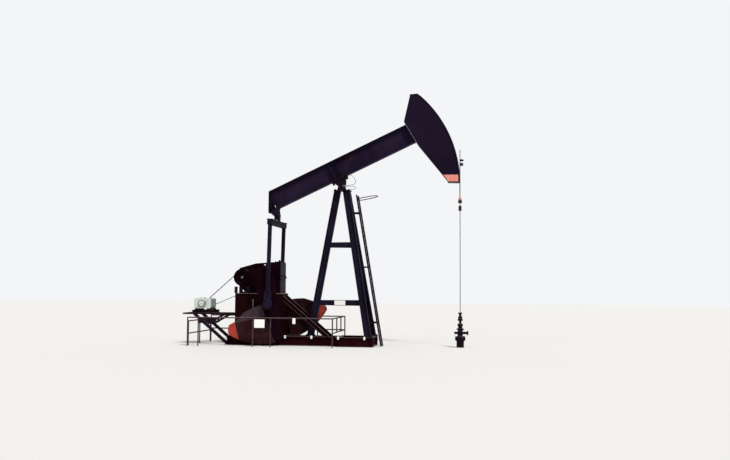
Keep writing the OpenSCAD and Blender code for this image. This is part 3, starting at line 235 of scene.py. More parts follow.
@dataclass(frozen=True)
class WeatheredEnamel:
    """Brushed and sprayed enamel on rolled steel, years in the sun: a dark coat that fades in patches.

    The eye gets a satin dark film, paler chalky clouds, rust freckles at chips, pale runs down the sides and
    dust on what faces up. Real chips are about 10 mm wide. They are drawn at 60 mm, as coarse as they have to
    be to show from the photograph's distance. runs is the scale of runs about 110 mm wide and 2 m long.
    """

    name: str
    coat: str
    faded: str
    rust: str = "#4a2116"
    dust: str = "#8d878c"
    roughness: float = 0.58
    satin: float = 0.08
    chalk: float = 0.3
    gloss: float = 0.04
    cloud_mm: float = 900.0
    cloud_from: float = 0.42
    cloud_full: float = 0.72
    freckle_mm: float = 60.0
    freckle_squash: float = 0.35
    patch_share: float = 0.6
    rust_full: float = 0.66
    rust_edge: float = 0.9
    dust_share: float = 0.35
    dust_from: float = 0.55
    dust_edge: float = 0.35
    run_share: float = 0.3
    run_from: float = 0.5
    run_full: float = 0.75
    runs: Triple = (9.0, 9.0, 0.5)
    bump: float = 0.12
    bump_mm: float = 2.0
    band: Band | None = None

    def material(self) -> bpy.types.Material:
        """Builds the enamel's material.

        Returns:
            The material.
        """
        material, tree, shader = blank_material(self.name, self.roughness, gloss=self.gloss)
        place = add_node(tree, Kind.PLACE)
        where = place.outputs["Object"]
        clouds = add_node(tree, Kind.NOISE, {"Scale": 1 / (self.cloud_mm * MM), "Detail": 6.0,
                                             "Roughness": 0.6}, {"Vector": where})
        fade = add_node(tree, Kind.RANGE, {"From Min": self.cloud_from, "From Max": self.cloud_full},
                        {"Value": clouds.outputs["Fac"]})
        coat = add_node(tree, Kind.MIX, {"data_type": "RGBA", 6: linear(self.coat), 7: linear(self.faded)},
                        {0: fade.outputs["Result"]})
        squashed = add_node(tree, Kind.MAPPING, {"Scale": (1.0, 1.0, self.freckle_squash)}, {"Vector": where})
        freckles = add_node(tree, Kind.NOISE, {"Scale": 1 / (self.freckle_mm * MM), "Detail": 8.0,
                                               "Roughness": 0.7}, {"Vector": squashed.outputs["Vector"]})
        patches = add_node(tree, Kind.NOISE, {"Scale": 1 / (self.cloud_mm * self.patch_share * MM),
                                              "Detail": 3.0}, {"Vector": where})
        both = add_node(tree, Kind.MATH, {"operation": "ADD"},
                        {0: freckles.outputs["Fac"], 1: patches.outputs["Fac"]})
        grain = add_node(tree, Kind.MATH, {"operation": "MULTIPLY", 1: 0.5}, {0: both.outputs[0]})
        bite = add_node(tree, Kind.RANGE, {"From Min": self.rust_full * self.rust_edge,
                                           "From Max": self.rust_full}, {"Value": grain.outputs[0]})
        painted = coat.outputs[2]
        if self.band:
            painted = self.band.paint(tree, where, painted, freckles.outputs["Fac"])
        rusty = add_node(tree, Kind.MIX, {"data_type": "RGBA", 7: linear(self.rust)},
                         {0: bite.outputs["Result"], 6: painted})
        tree.links.new(self._runs_and_dust(tree, place, rusty.outputs[2]), shader.inputs["Base Color"])
        rough = add_node(tree, Kind.RANGE, {"To Min": self.roughness - self.satin,
                                            "To Max": self.roughness + self.chalk},
                         {"Value": grain.outputs[0]})
        tree.links.new(rough.outputs["Result"], shader.inputs["Roughness"])
        bump = add_node(tree, Kind.BUMP, {"Strength": self.bump, "Distance": self.bump_mm * MM},
                        {"Height": freckles.outputs["Fac"]})
        tree.links.new(bump.outputs["Normal"], shader.inputs["Normal"])
        return material

    def _runs_and_dust(self, tree: bpy.types.NodeTree, place: bpy.types.Node,
                       under: bpy.types.NodeSocket) -> bpy.types.NodeSocket:
        """Adds the pale runs down the sides and the dust on what faces up.

        Args:
            tree: The material's node tree.
            place: The node that gives the place and the way that the surface faces.
            under: The colour under both.

        Returns:
            The colour with both.
        """
        streaks = add_node(tree, Kind.MAPPING, {"Scale": self.runs}, {"Vector": place.outputs["Object"]})
        noise = add_node(tree, Kind.NOISE, {"Scale": 1.0, "Detail": 4.0, "Roughness": 0.55},
                         {"Vector": streaks.outputs["Vector"]})
        wet = add_node(tree, Kind.RANGE, {"From Min": self.run_from, "From Max": self.run_full,
                                          "To Max": self.run_share}, {"Value": noise.outputs["Fac"]})
        streaky = add_node(tree, Kind.MIX, {"data_type": "RGBA", 7: linear(self.faded)},
                           {0: wet.outputs["Result"], 6: under})
        facing = add_node(tree, Kind.SPLIT, links={"Vector": place.outputs["Normal"]})
        settled = add_node(tree, Kind.RANGE, {"From Min": self.dust_from,
                                              "From Max": self.dust_from + self.dust_edge,
                                              "To Max": self.dust_share}, {"Value": facing.outputs["Z"]})
        dusty = add_node(tree, Kind.MIX, {"data_type": "RGBA", 7: linear(self.dust)},
                         {0: settled.outputs["Result"], 6: streaky.outputs[2]})
        return dusty.outputs[2]


@dataclass(frozen=True)
class BareMetal:
    """Bare iron or steel with a film of grease and dust: turned, cast or laid up as wire.

    The eye gets a dull shine that breaks up into dark greasy patches. clamps holds the heights between which
    the piece is a forged clamp with a dark coat. The strands of the real rope are about 9 mm wide. They are
    drawn wider, by strand_mm, so that they show. strand_share turns that width into the wave pattern's scale.
    """

    name: str
    metal: str
    film: str
    roughness: float = 0.4
    film_mm: float = 120.0
    film_from: float = 0.4
    film_edge: float = 0.3
    film_metallic: float = 0.1
    strand_mm: float = 0.0
    strand_share: float = 0.3
    strand_depth_mm: float = 3.0
    clamps: tuple[tuple[float, float], ...] = ()
    clamp_coat: str = "#1d181e"

    def material(self) -> bpy.types.Material:
        """Builds the metal's material.

        Returns:
            The material.
        """
        material, tree, shader = blank_material(self.name, self.roughness, metallic=1.0)
        where = add_node(tree, Kind.PLACE).outputs["Object"]
        grease = add_node(tree, Kind.NOISE, {"Scale": 1 / (self.film_mm * MM), "Detail": 5.0},
                          {"Vector": where})
        share = add_node(tree, Kind.RANGE, {"From Min": self.film_from,
                                            "From Max": self.film_from + self.film_edge},
                         {"Value": grease.outputs["Fac"]})
        colour = add_node(tree, Kind.MIX, {"data_type": "RGBA", 6: linear(self.metal), 7: linear(self.film)},
                          {0: share.outputs["Result"]})
        shown, covered = colour.outputs[2], share.outputs["Result"]
        height = add_node(tree, Kind.SPLIT, links={"Vector": where}).outputs["Z"]
        for low, high in self.clamps:
            off = add_node(tree, Kind.MATH, {"operation": "SUBTRACT", 1: (low + high) / 2}, {0: height})
            away = add_node(tree, Kind.MATH, {"operation": "ABSOLUTE"}, {0: off.outputs[0]})
            zone = add_node(tree, Kind.MATH, {"operation": "LESS_THAN", 1: (high - low) / 2},
                            {0: away.outputs[0]})
            dark = add_node(tree, Kind.MIX, {"data_type": "RGBA", 7: linear(self.clamp_coat)},
                            {0: zone.outputs[0], 6: shown})
            both = add_node(tree, Kind.MATH, {"operation": "MAXIMUM"}, {0: zone.outputs[0], 1: covered})
            shown, covered = dark.outputs[2], both.outputs[0]
        tree.links.new(shown, shader.inputs["Base Color"])
        bare = add_node(tree, Kind.RANGE, {"To Min": 1.0, "To Max": self.film_metallic}, {"Value": covered})
        tree.links.new(bare.outputs["Result"], shader.inputs["Metallic"])
        if self.strand_mm:
            lay = add_node(tree, Kind.WAVE, {"Scale": self.strand_share / (self.strand_mm * MM),
                                             "bands_direction": "DIAGONAL", "Distortion": 0.0},
                           {"Vector": where})
            bump = add_node(tree, Kind.BUMP, {"Strength": 0.6, "Distance": self.strand_depth_mm * MM},
                            {"Height": lay.outputs["Fac"]})
            tree.links.new(bump.outputs["Normal"], shader.inputs["Normal"])
        return material


@dataclass(frozen=True)
class PlainCoat:
    """One even coat, moulded or painted: rubber belts, a blank sign, a motor's enamel.

    The eye gets a clean even colour with faint dirt. The last four fields darken every face that faces along
    X, the ribs among them, toward a near black, by a share.
    """

    name: str
    coat: str
    dirt: str
    roughness: float = 0.6
    dirt_mm: float = 150.0
    dirt_from: float = 0.55
    dirt_edge: float = 0.3
    side_darkening: str = "#26262b"
    side_darkening_share: float = 0.0
    side_from: float = 0.5
    side_full: float = 0.9

    def material(self) -> bpy.types.Material:
        """Builds the coat's material.

        Returns:
            The material.
        """
        material, tree, shader = blank_material(self.name, self.roughness)
        place = add_node(tree, Kind.PLACE)
        dirt = add_node(tree, Kind.NOISE, {"Scale": 1 / (self.dirt_mm * MM), "Detail": 6.0},
                        {"Vector": place.outputs["Object"]})
        share = add_node(tree, Kind.RANGE, {"From Min": self.dirt_from,
                                            "From Max": self.dirt_from + self.dirt_edge},
                         {"Value": dirt.outputs["Fac"]})
        colour = add_node(tree, Kind.MIX, {"data_type": "RGBA", 6: linear(self.coat), 7: linear(self.dirt)},
                          {0: share.outputs["Result"]})
        # Faces that face along X are darkened toward the dark colour.
        facing = add_node(tree, Kind.SPLIT, links={"Vector": place.outputs["Normal"]})
        ends = add_node(tree, Kind.MATH, {"operation": "ABSOLUTE"}, {0: facing.outputs["X"]})
        darkened_sides = add_node(tree, Kind.RANGE, {"From Min": self.side_from, "From Max": self.side_full,
                                           "To Max": self.side_darkening_share}, {"Value": ends.outputs[0]})
        with_dark_sides = add_node(tree, Kind.MIX, {"data_type": "RGBA", 7: linear(self.side_darkening)},
                         {0: darkened_sides.outputs["Result"], 6: colour.outputs[2]})
        tree.links.new(with_dark_sides.outputs[2], shader.inputs["Base Color"])
        return material


def joint_centre(name: str) -> Vector:
    """Finds a joint of the record.

    Args:
        name: The joint's name.

    Returns:
        Its place, in metres.
    """
    for joint in frame["joints"]:
        if joint["name"] == name:
            return Vector(joint["pos_m"])
    raise ValueError(f"the record has no joint {name}")


@dataclass(frozen=True)
class Layout:
    """Bearing centres of the unit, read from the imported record."""

    saddle: Vector = field(default_factory=lambda: joint_centre("beam_rock"))
    tail: Vector = field(default_factory=lambda: joint_centre("pitman_swing"))
    crank: Vector = field(default_factory=lambda: joint_centre("crank_turn"))
    motor: Vector = field(default_factory=lambda: joint_centre("motor_turn"))
    crank_angle: float = math.radians(15)

    @property
    def tilt(self) -> float:
        """The walking beam's upward tilt."""
        drop = self.saddle - self.tail
        return math.atan2(drop.z, drop.x)

    @property
    def beam(self) -> Matrix:
        """The walking beam's frame: X along it, Z up from it."""
        return Matrix.Translation(self.saddle) @ Matrix.Rotation(-self.tilt, 4, "Y")

    @property
    def beam_turn(self) -> Matrix:
        """The walking beam's frame without its place."""
        return self.beam.to_3x3().to_4x4()

    @property
    def crank_frame(self) -> Matrix:
        """The cranks' frame: X along a crank, Z toward the well."""
        return Matrix.Translation(self.crank) @ Matrix.Rotation(math.radians(90) - self.crank_angle, 4, "Y")

    @property
    def across_crank(self) -> Triple:
        """The direction across a crank, toward the well."""
        return (math.cos(self.crank_angle), 0.0, math.sin(self.crank_angle))


@dataclass(frozen=True)
class Bend:
    """A flexible piece's second body and two places; a piece given one is left as a loose object with its
    transform applied.
    """

    toward: Body
    start: Vector
    end: Vector


@dataclass(frozen=True)
class Ring:
    """Bolts on a circle: their number, the circle's radius and the nuts' width across their flats."""

    count: int
    radius: float
    nut: float


@dataclass(frozen=True)
class Grid:
    """Bolts at every crossing of places along X, Y and Z, with the nuts' width and the way they point."""

    xs: tuple[float, ...]
    ys: tuple[float, ...]
    zs: tuple[float, ...]
    nut: float
    side: Side = Side.UP


@dataclass
class Piece:
    """A mesh piece under construction, in metres in the row's frame."""

    name: str
    body: Body
    slot: str
    mesh: bmesh.types.BMesh = field(default_factory=bmesh.new)

    def box(self, size: Triple, centre: Vector, turn: Matrix | None = None, soft: float = 0.0) -> None:
        """Adds a box.

        Args:
            size: Its three edges.
            centre: Its middle.
            turn: Its rotation about the middle.
            soft: The width of its bevelled edges.
        """
        place = Matrix.Translation(centre) @ (turn or Matrix.Identity(4)) @ Matrix.Diagonal((*size, 1.0))
        made = bmesh.ops.create_cube(self.mesh, size=1.0, matrix=place)
        if soft:
            edges = list({e for v in made["verts"] for e in v.link_edges})
            bmesh.ops.bevel(self.mesh, geom=edges, offset=soft, segments=1, profile=0.5, affect="EDGES",
                            material=-1)

    def round(self, radius: float, length: float, centre: Vector, turn: Matrix, tip: float | None = None,
              sides: int = 24) -> None:
        """Adds a cylinder or a cone.

        Args:
            radius: Its radius at the start.
            length: Its length.
            centre: Its middle.
            turn: The rotation that brings Z to its axis.
            tip: Its radius at the end, the same as radius when left out.
            sides: Its number of sides.
        """
        bmesh.ops.create_cone(self.mesh, cap_ends=True, segments=sides, radius1=radius,
                              radius2=radius if tip is None else tip, depth=length,
                              matrix=Matrix.Translation(centre) @ turn)

    def bolt(self, centre: Vector, turn: Matrix, across: float) -> None:
        """Adds a washer and a hexagon nut with its stud.

        Args:
            centre: The place on the surface.
            turn: The rotation that brings Z out of the surface.
            across: The nut's width across its flats.
        """
        out = turn.to_3x3() @ Vector(UPWARD)
        for radius, height, middle, sides in BOLT_PARTS:
            self.round(across * radius, across * height, centre + out * across * middle, turn, sides=sides)

    def ring(self, ring: Ring, centre: Vector, side: Side) -> None:
        """Adds a ring of bolts round a centre.

        Args:
            ring: The bolts and their circle.
            centre: Its middle, on the surface.
            side: The direction that the bolts point in.
        """
        for step in range(ring.count):
            angle = math.tau * (step + 0.5) / ring.count
            spoke = side.turn @ Vector((ring.radius * math.cos(angle), ring.radius * math.sin(angle), 0.0))
            self.bolt(centre + spoke, side.turn, ring.nut)

    def grid(self, grid: Grid, start: Vector | Triple = ZERO, turn: Matrix = Side.UP.turn) -> None:
        """Adds a grid of bolts.

        Args:
            grid: The bolts and their places.
            start: Where the places start from.
            turn: The rotation of the whole grid.
        """
        for spot in product(grid.xs, grid.ys, grid.zs):
            self.bolt(Vector(start) + turn @ Vector(spot), turn @ grid.side.turn, grid.nut)

    def tube(self, points: Sequence[Vector | Triple], radius: float, sides: int = 10) -> None:
        """Adds a bent tube through points, whose runs lap a little at the bends.

        Args:
            points: The middle line's points.
            radius: The tube's radius.
            sides: Its number of sides.
        """
        for start, end in zip(map(Vector, points), map(Vector, points[1:])):
            run = end - start
            turn = run.to_track_quat("Z", "Y").to_matrix().to_4x4()
            self.round(radius, run.length + radius * 0.6, (start + end) / 2, turn, sides=sides)

    def finish(self, material: bpy.types.Material, bend: Bend | None = None, node: str | None = None) -> None:
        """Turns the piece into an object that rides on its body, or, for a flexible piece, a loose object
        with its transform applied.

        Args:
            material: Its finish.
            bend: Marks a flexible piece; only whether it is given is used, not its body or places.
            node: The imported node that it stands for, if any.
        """
        data = bpy.data.meshes.new(self.name)
        self.mesh.to_mesh(data)
        self.mesh.free()
        data.materials.append(material)
        thing = bpy.data.objects.new(self.name, data)
        bpy.context.scene.collection.objects.link(thing)
        if bend:
            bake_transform(thing)
        else:
            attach(thing, self.body.value)
        if node:
            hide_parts(node)
        LOG.info("%s: %d faces on %s", self.name, len(data.polygons), self.body.value)


@dataclass(frozen=True)
class Finishes:
    """Every finish of the unit, by the node or piece that wears it."""

    layout: Layout
    back_lean: float = math.radians(5.5)
    # The next two bound along X the painted light on the gearbox's front face: a depth behind the face, and
    # an end.
    front_light_depth: float = 0.05
    front_light_end: float = -2.0

    @property
    def back_edge_highlight(self) -> Band:
        """A painted highlight along the edge of the horsehead's back plate, which leans with the beam's front
        end.
        """
        lean = self.layout.tilt + self.back_lean
        return Band("#707788", (math.cos(lean), 0.0, math.sin(lean)), low=3.296, high=3.322,
                    centre=tuple(self.layout.saddle))

    @property
    def weight_ends(self) -> Band:
        """The red bands at both ends of a counterweight, across the crank. They stop just short of the end
        faces, which keep the dark base coat as painted shade.
        """
        return Band("#a54032", self.layout.across_crank, low=1.46, high=1.79, centre=tuple(self.layout.crank),
                    both_sides=True, wear=0.4)

    @property
    def front_face_light(self) -> Band:
        """The gearbox's front face, painted a lighter grey as painted light."""
        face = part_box("gearbox_cover")[1].x
        return Band("#3a3640", FORWARD, low=face - self.front_light_depth, high=self.front_light_end, wear=0.5)

    def enamels(self) -> dict[str, WeatheredEnamel]:
        """Gives the weathered enamels.

        Returns:
            The enamels by short name.
        """
        # A pale band round the pedestal's top edge: a painted highlight.
        ledge_highlight = Band("#8d7f80", UPWARD, low=1.968, high=1.995, wear=0.45)
        head_band = Band("#e58f82", UPWARD, low=6.275, high=6.535)
        socket_band = Band("#dd8f80", UPWARD, low=5.57, high=5.80)
        oily = {"coat": "#110209", "faded": "#1b0810", "cloud_mm": 500, "rust_full": 0.76, "roughness": 0.55,
                "gloss": 0.01, "dust_share": 0.2}
        return {
            # Alkyd enamel, brushed on: an even dull black, a little violet where the sun has chalked it.
            "black": WeatheredEnamel("weathered black enamel", "#180a14", "#241824", rust_full=0.7),
            # The same paint on tall legs and arms, chalked in clouds over a metre long.
            "post": WeatheredEnamel("chalked maroon black enamel", "#150e1d", "#221c30", cloud_mm=1200,
                                    rust_full=0.7),
            # Low members catch earth and dust: a warm dull black with pale upper flanges.
            "base": WeatheredEnamel("dusty maroon black enamel", "#1c0407", "#2c0c12", cloud_mm=700,
                                    rust_full=0.7, gloss=0.015, dust="#8f8188", dust_share=0.45,
                                    dust_from=0.5),
            # The beam's web stands in full sun and fades most, in long violet clouds.
            "beam": WeatheredEnamel("sun-faded maroon black enamel", "#160d20", "#261c32", cloud_mm=1400,
                                    rust_full=0.68),
            # Smooth sprayed sheet: nearly even, with a coral safety band at the lower end.
            "head": WeatheredEnamel("faded black enamel with a safety band", "#150b1f", "#1e1529",
                                    cloud_mm=1500, band=head_band, dust_share=0.15, rust_full=0.7,
                                    run_share=0.15),
            # A fresher coat round the head: a soft shine on the rim, and a painted highlight along the edge
            # at the back.
            "rim": WeatheredEnamel("gloss black enamel", "#0e0a12", "#1a1620", roughness=0.4, dust_share=0.2,
                                   band=self.back_edge_highlight),
            # A dark bar whose sockets are painted coral, so that they are seen.
            "sockets": WeatheredEnamel("dark enamel with painted wire sockets", "#241a1f", "#3a2c30",
                                       band=socket_band),
            # Oxide red gone nearly black, with a pale band round the top edge as a painted highlight.
            "red": WeatheredEnamel("faded oxide red enamel", "#160406", "#23090c", cloud_mm=700,
                                   rust_full=0.72, gloss=0.015, band=ledge_highlight),
            # Oil mist keeps castings dark, almost without shine or dust.
            "cover": WeatheredEnamel("oily maroon enamel", **oily),
            # The same on the gearbox, whose front face is painted a lighter grey as painted light.
            "case": WeatheredEnamel("oily maroon enamel with painted light in front", **oily, band=self.front_face_light),
            # Rough cast iron under old enamel: slopes hold pale dust, and both ends are painted red, but the
            # end faces keep the dark coat as painted shade.
            "weight": WeatheredEnamel("faded enamel on cast iron with end bands", "#230c0e", "#351c20",
                                      cloud_mm=600, band=self.weight_ends, rust_full=0.69, dust="#7d7886",
                                      dust_share=0.3, dust_from=0.15),
            # Thin tube that hands rub: chalked brown grey, the most worn of all.
            "rail": WeatheredEnamel("chalked enamel on steel tube", "#33262a", "#5a474a", rust_full=0.6,
                                    cloud_mm=300, dust="#9b8c8c", dust_share=0.6),
        }

    @staticmethod
    def metals() -> dict[str, BareMetal]:
        """Gives the bare metals.

        Returns:
            The metals by short name.
        """
        return {
            # Oiled turned steel: a bright line where it is wiped, dark where grease has caught dust.
            "turned": BareMetal("turned and oiled steel", "#8f8f94", "#4a4038", roughness=0.36, film_mm=200.0,
                                clamps=((5.165, 5.365), (6.885, 7.015))),
            # Sand-cast sheaves: rough grey with greasy black patches.
            "cast": BareMetal("greasy grey cast iron", "#6f6b68", "#241c1c", roughness=0.5, film_mm=90.0,
                              film_from=0.3),
            # Rope packed in grease: nearly black, with slanting lines of strands.
            "rope": BareMetal("greased steel wire rope", "#3c363b", "#1a1417", roughness=0.6, film_mm=60.0,
                              film_from=0.0, strand_mm=22.0),
        }

    @staticmethod
    def coats() -> dict[str, PlainCoat]:
        """Gives the plain coats.

        Returns:
            The coats by short name.
        """
        return {
            # Light enamel, clean in front, with every face that faces along X darkened nearly to black.
            "motor": PlainCoat("pale grey green motor enamel", "#c8d1ca", "#8d8f84", roughness=0.45,
                               side_darkening_share=0.92),
            # The same enamel in the shade of the air slots.
            "slot": PlainCoat("grey green enamel darkened as painted shade in air slots", "#5f6863", "#4a4d48", roughness=0.7,
                              dirt_mm=60.0),
            # Fabric-wrapped rubber: flat black with dust in its weave.
            "rubber": PlainCoat("wrapped rubber belt", "#0c0c10", "#26231f", roughness=0.85),
            # Stove-enamelled sheet: bright and even, with a faint brown bloom.
            "white": PlainCoat("blank white sheet sign", "#f4f3ef", "#c9c2b6", roughness=0.5, dirt_mm=90.0,
                               dirt_from=0.62),
            # Small parts in dull mid grey, which stand out against the black.
            "fitting": PlainCoat("chalky grey enamel on small fittings", "#77777f", "#565056", dirt_mm=60.0),
        }

    def make(self) -> Materials:
        """Makes every material of the unit and returns them by short name."""
        every = self.enamels() | self.metals() | self.coats()
        return {name: finish.material() for name, finish in every.items()}


NODE_PLAN = {
    "black": ["motor_stand", "motor_slide", "saddle_stand", "saddle_bearing", "casing_head",
              "stuffing_box", "valve_wheel", "ladder", "ladder_hoop"],
    "post": ["post_rear_leg", "post_front_leg_near", "post_front_leg_far", "post_ties", "tail_bracket",
             "equaliser", "pitman_near", "pitman_far"],
    "base": ["base_rear", "base_front", "strut_near", "strut_far"],
    "beam": ["walking_beam"],
    "head": ["horsehead_side_near", "horsehead_side_far"],
    "rim": ["horsehead_rim"],
    "red": ["pedestal"],
    "case": ["gearbox_case", "gearbox_cover"],
    "cover": ["crank_near", "crank_far", "brake_drum"],
    "weight": ["weight_near", "weight_far"],
    "rail": ["guard_near", "guard_far", "guard_rear_end", "guard_front_end"],
    "turned": ["crankshaft", "polished_rod", "input_shaft"],
    "sockets": ["carrier_bar"],
    "cast": ["gearbox_sheave", "motor_sheave"],
    "rope": ["head_wires", "hanger_wires"],
    "motor": ["motor"],
    "rubber": ["belt"],
}


def dress_nodes(finishes: Materials, plan: dict[str, list[str]]) -> None:
    """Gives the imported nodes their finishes.

    Args:
        finishes: The materials by short name.
        plan: The nodes of each material.
    """
    for name, nodes in plan.items():
        for node in nodes:
            data = frame["nodes"][node].data
            data.materials.clear()
            data.materials.append(finishes[name])
        LOG.info("%s on %d nodes", name, len(nodes))


@dataclass
class Fittings:
    """Small pieces of a sub-assembly, placed by the unit's bearing centres and dressed in its materials."""

    layout: Layout
    materials: Materials


@dataclass
class Guard(Fittings):
    """Blank plates on the guard rail, told by width, height, place and drop, and one on the post's tie."""

    hung: tuple[tuple[float, ...], ...] = ((0.40, 0.31, -2.85, 0.23), (0.11, 0.21, -1.53, 0.12))
    plate_t: float = 0.004
    soft: float = 0.001
    tie: Triple = (0.46, 0.004, 0.175)
    tie_at: Triple = (0.01, -0.345, 1.645)
    tie_lean: float = math.radians(-15.9)

    def build(self) -> None:
        """Builds the plates."""
        low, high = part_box("guard_near")
        plates = Piece("guard_plates", Body.FRAME, "rail_paint")
        for width, height, x, drop in self.hung:
            spot = Vector((x, low.y - self.plate_t / 2, high.z - drop))
            plates.box((width, self.plate_t, height), spot, soft=self.soft)
        plates.finish(self.materials["white"])
        tie = Piece("tie_plate", Body.FRAME, "black_paint")
        tie.box(self.tie, Vector(self.tie_at), Matrix.Rotation(self.tie_lean, 4, "Z"), soft=self.soft)
        tie.finish(self.materials["white"])


@dataclass
class GearboxFittings(Fittings):
    """Bolts of the gearbox's flange, bearing caps, bosses and hatch, its level fitting and the brake's gear.

    The heights of flange, front and caps start from the flange's upper face. The level's discs are told by
    radius, length and place.
    """

    split_half: float = 0.04
    flange: Grid = Grid((-2.58, -2.49, -2.40, -2.31), (-0.413, 0.413), (0.0,), 0.034)
    front: Grid = Grid((-0.013,), (-0.32, -0.16, 0.0, 0.16, 0.32), (0.0,), 0.034)
    caps: Grid = Grid((-3.155, -2.67), (-0.43, 0.43), (0.04,), 0.05)
    hatch: Grid = Grid((-2.57, -2.465, -2.36), (-0.215, 0.215), (3.214,), 0.02)
    boss: Ring = Ring(8, 0.19, 0.03)
    level_discs: tuple[tuple[float, float, Triple], ...] = ((0.03, 0.02, (-2.93, -0.41, 3.08)),
                                                            (0.012, 0.012, (-2.93, -0.426, 3.08)))
    bracket: Blocks = (
        ((0.11, 0.07, 0.25), (-4.06, -0.445, 2.115)), ((0.36, 0.05, 0.06), (-3.70, -0.45, 2.02)),
        ((0.10, 0.05, 0.26), (-3.84, -0.45, 2.12)), ((0.10, 0.05, 0.22), (-3.57, -0.45, 2.10)))
    bracket_soft: float = 0.006
    bracket_bolts: tuple[Triple, ...] = ((-3.84, -0.475, 2.16), (-3.57, -0.475, 2.14))
    bracket_nut: float = 0.04
    lever: tuple[Triple, ...] = ((-3.37, -0.455, 1.40), (-3.37, -0.455, 1.75))
    lever_r: float = 0.017
    lever_stop: Triple = (0.06, 0.05, 0.04)
    lever_stop_at: Triple = (-3.37, -0.44, 1.70)
    lever_stop_soft: float = 0.004

    def bolts(self) -> None:
        """Builds the bolts of the flange, the bearing caps, the hatch and the bosses."""
        low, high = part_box("gearbox_cover")
        top = self.layout.crank.z + self.split_half
        bolts = Piece("gearbox_bolts", Body.FRAME, "red_brown_paint")
        for grid in (self.flange, self.caps):
            bolts.grid(grid, (0.0, 0.0, top))
        bolts.grid(self.front, (high.x, 0.0, top))
        bolts.grid(self.hatch)
        for y, side in ((low.y, Side.NEAR), (high.y, Side.FAR)):
            bolts.ring(self.boss, Vector((self.layout.crank.x, y, self.layout.crank.z)), side)
        bolts.finish(self.materials["cover"])

    def brake(self) -> None:
        """Builds the brake's bracket under its drum, and its lever."""
        brake = Piece("brake_bracket", Body.FRAME, "black_paint")
        for size, spot in self.bracket:
            brake.box(size, Vector(spot), soft=self.bracket_soft)
        for spot in self.bracket_bolts:
            brake.bolt(Vector(spot), Side.NEAR.turn, self.bracket_nut)
        brake.finish(self.materials["black"])
        lever = Piece("brake_lever", Body.FRAME, "rail_paint")
        lever.tube(self.lever, self.lever_r)
        lever.box(self.lever_stop, Vector(self.lever_stop_at), soft=self.lever_stop_soft)
        lever.finish(self.materials["fitting"])

    def build(self) -> None:
        """Builds the fittings."""
        self.bolts()
        level = Piece("oil_level", Body.FRAME, "red_brown_paint")
        for radius, length, spot in self.level_discs:
            level.round(radius, length, Vector(spot), Side.NEAR.turn)
        level.finish(self.materials["white"])
        self.brake()


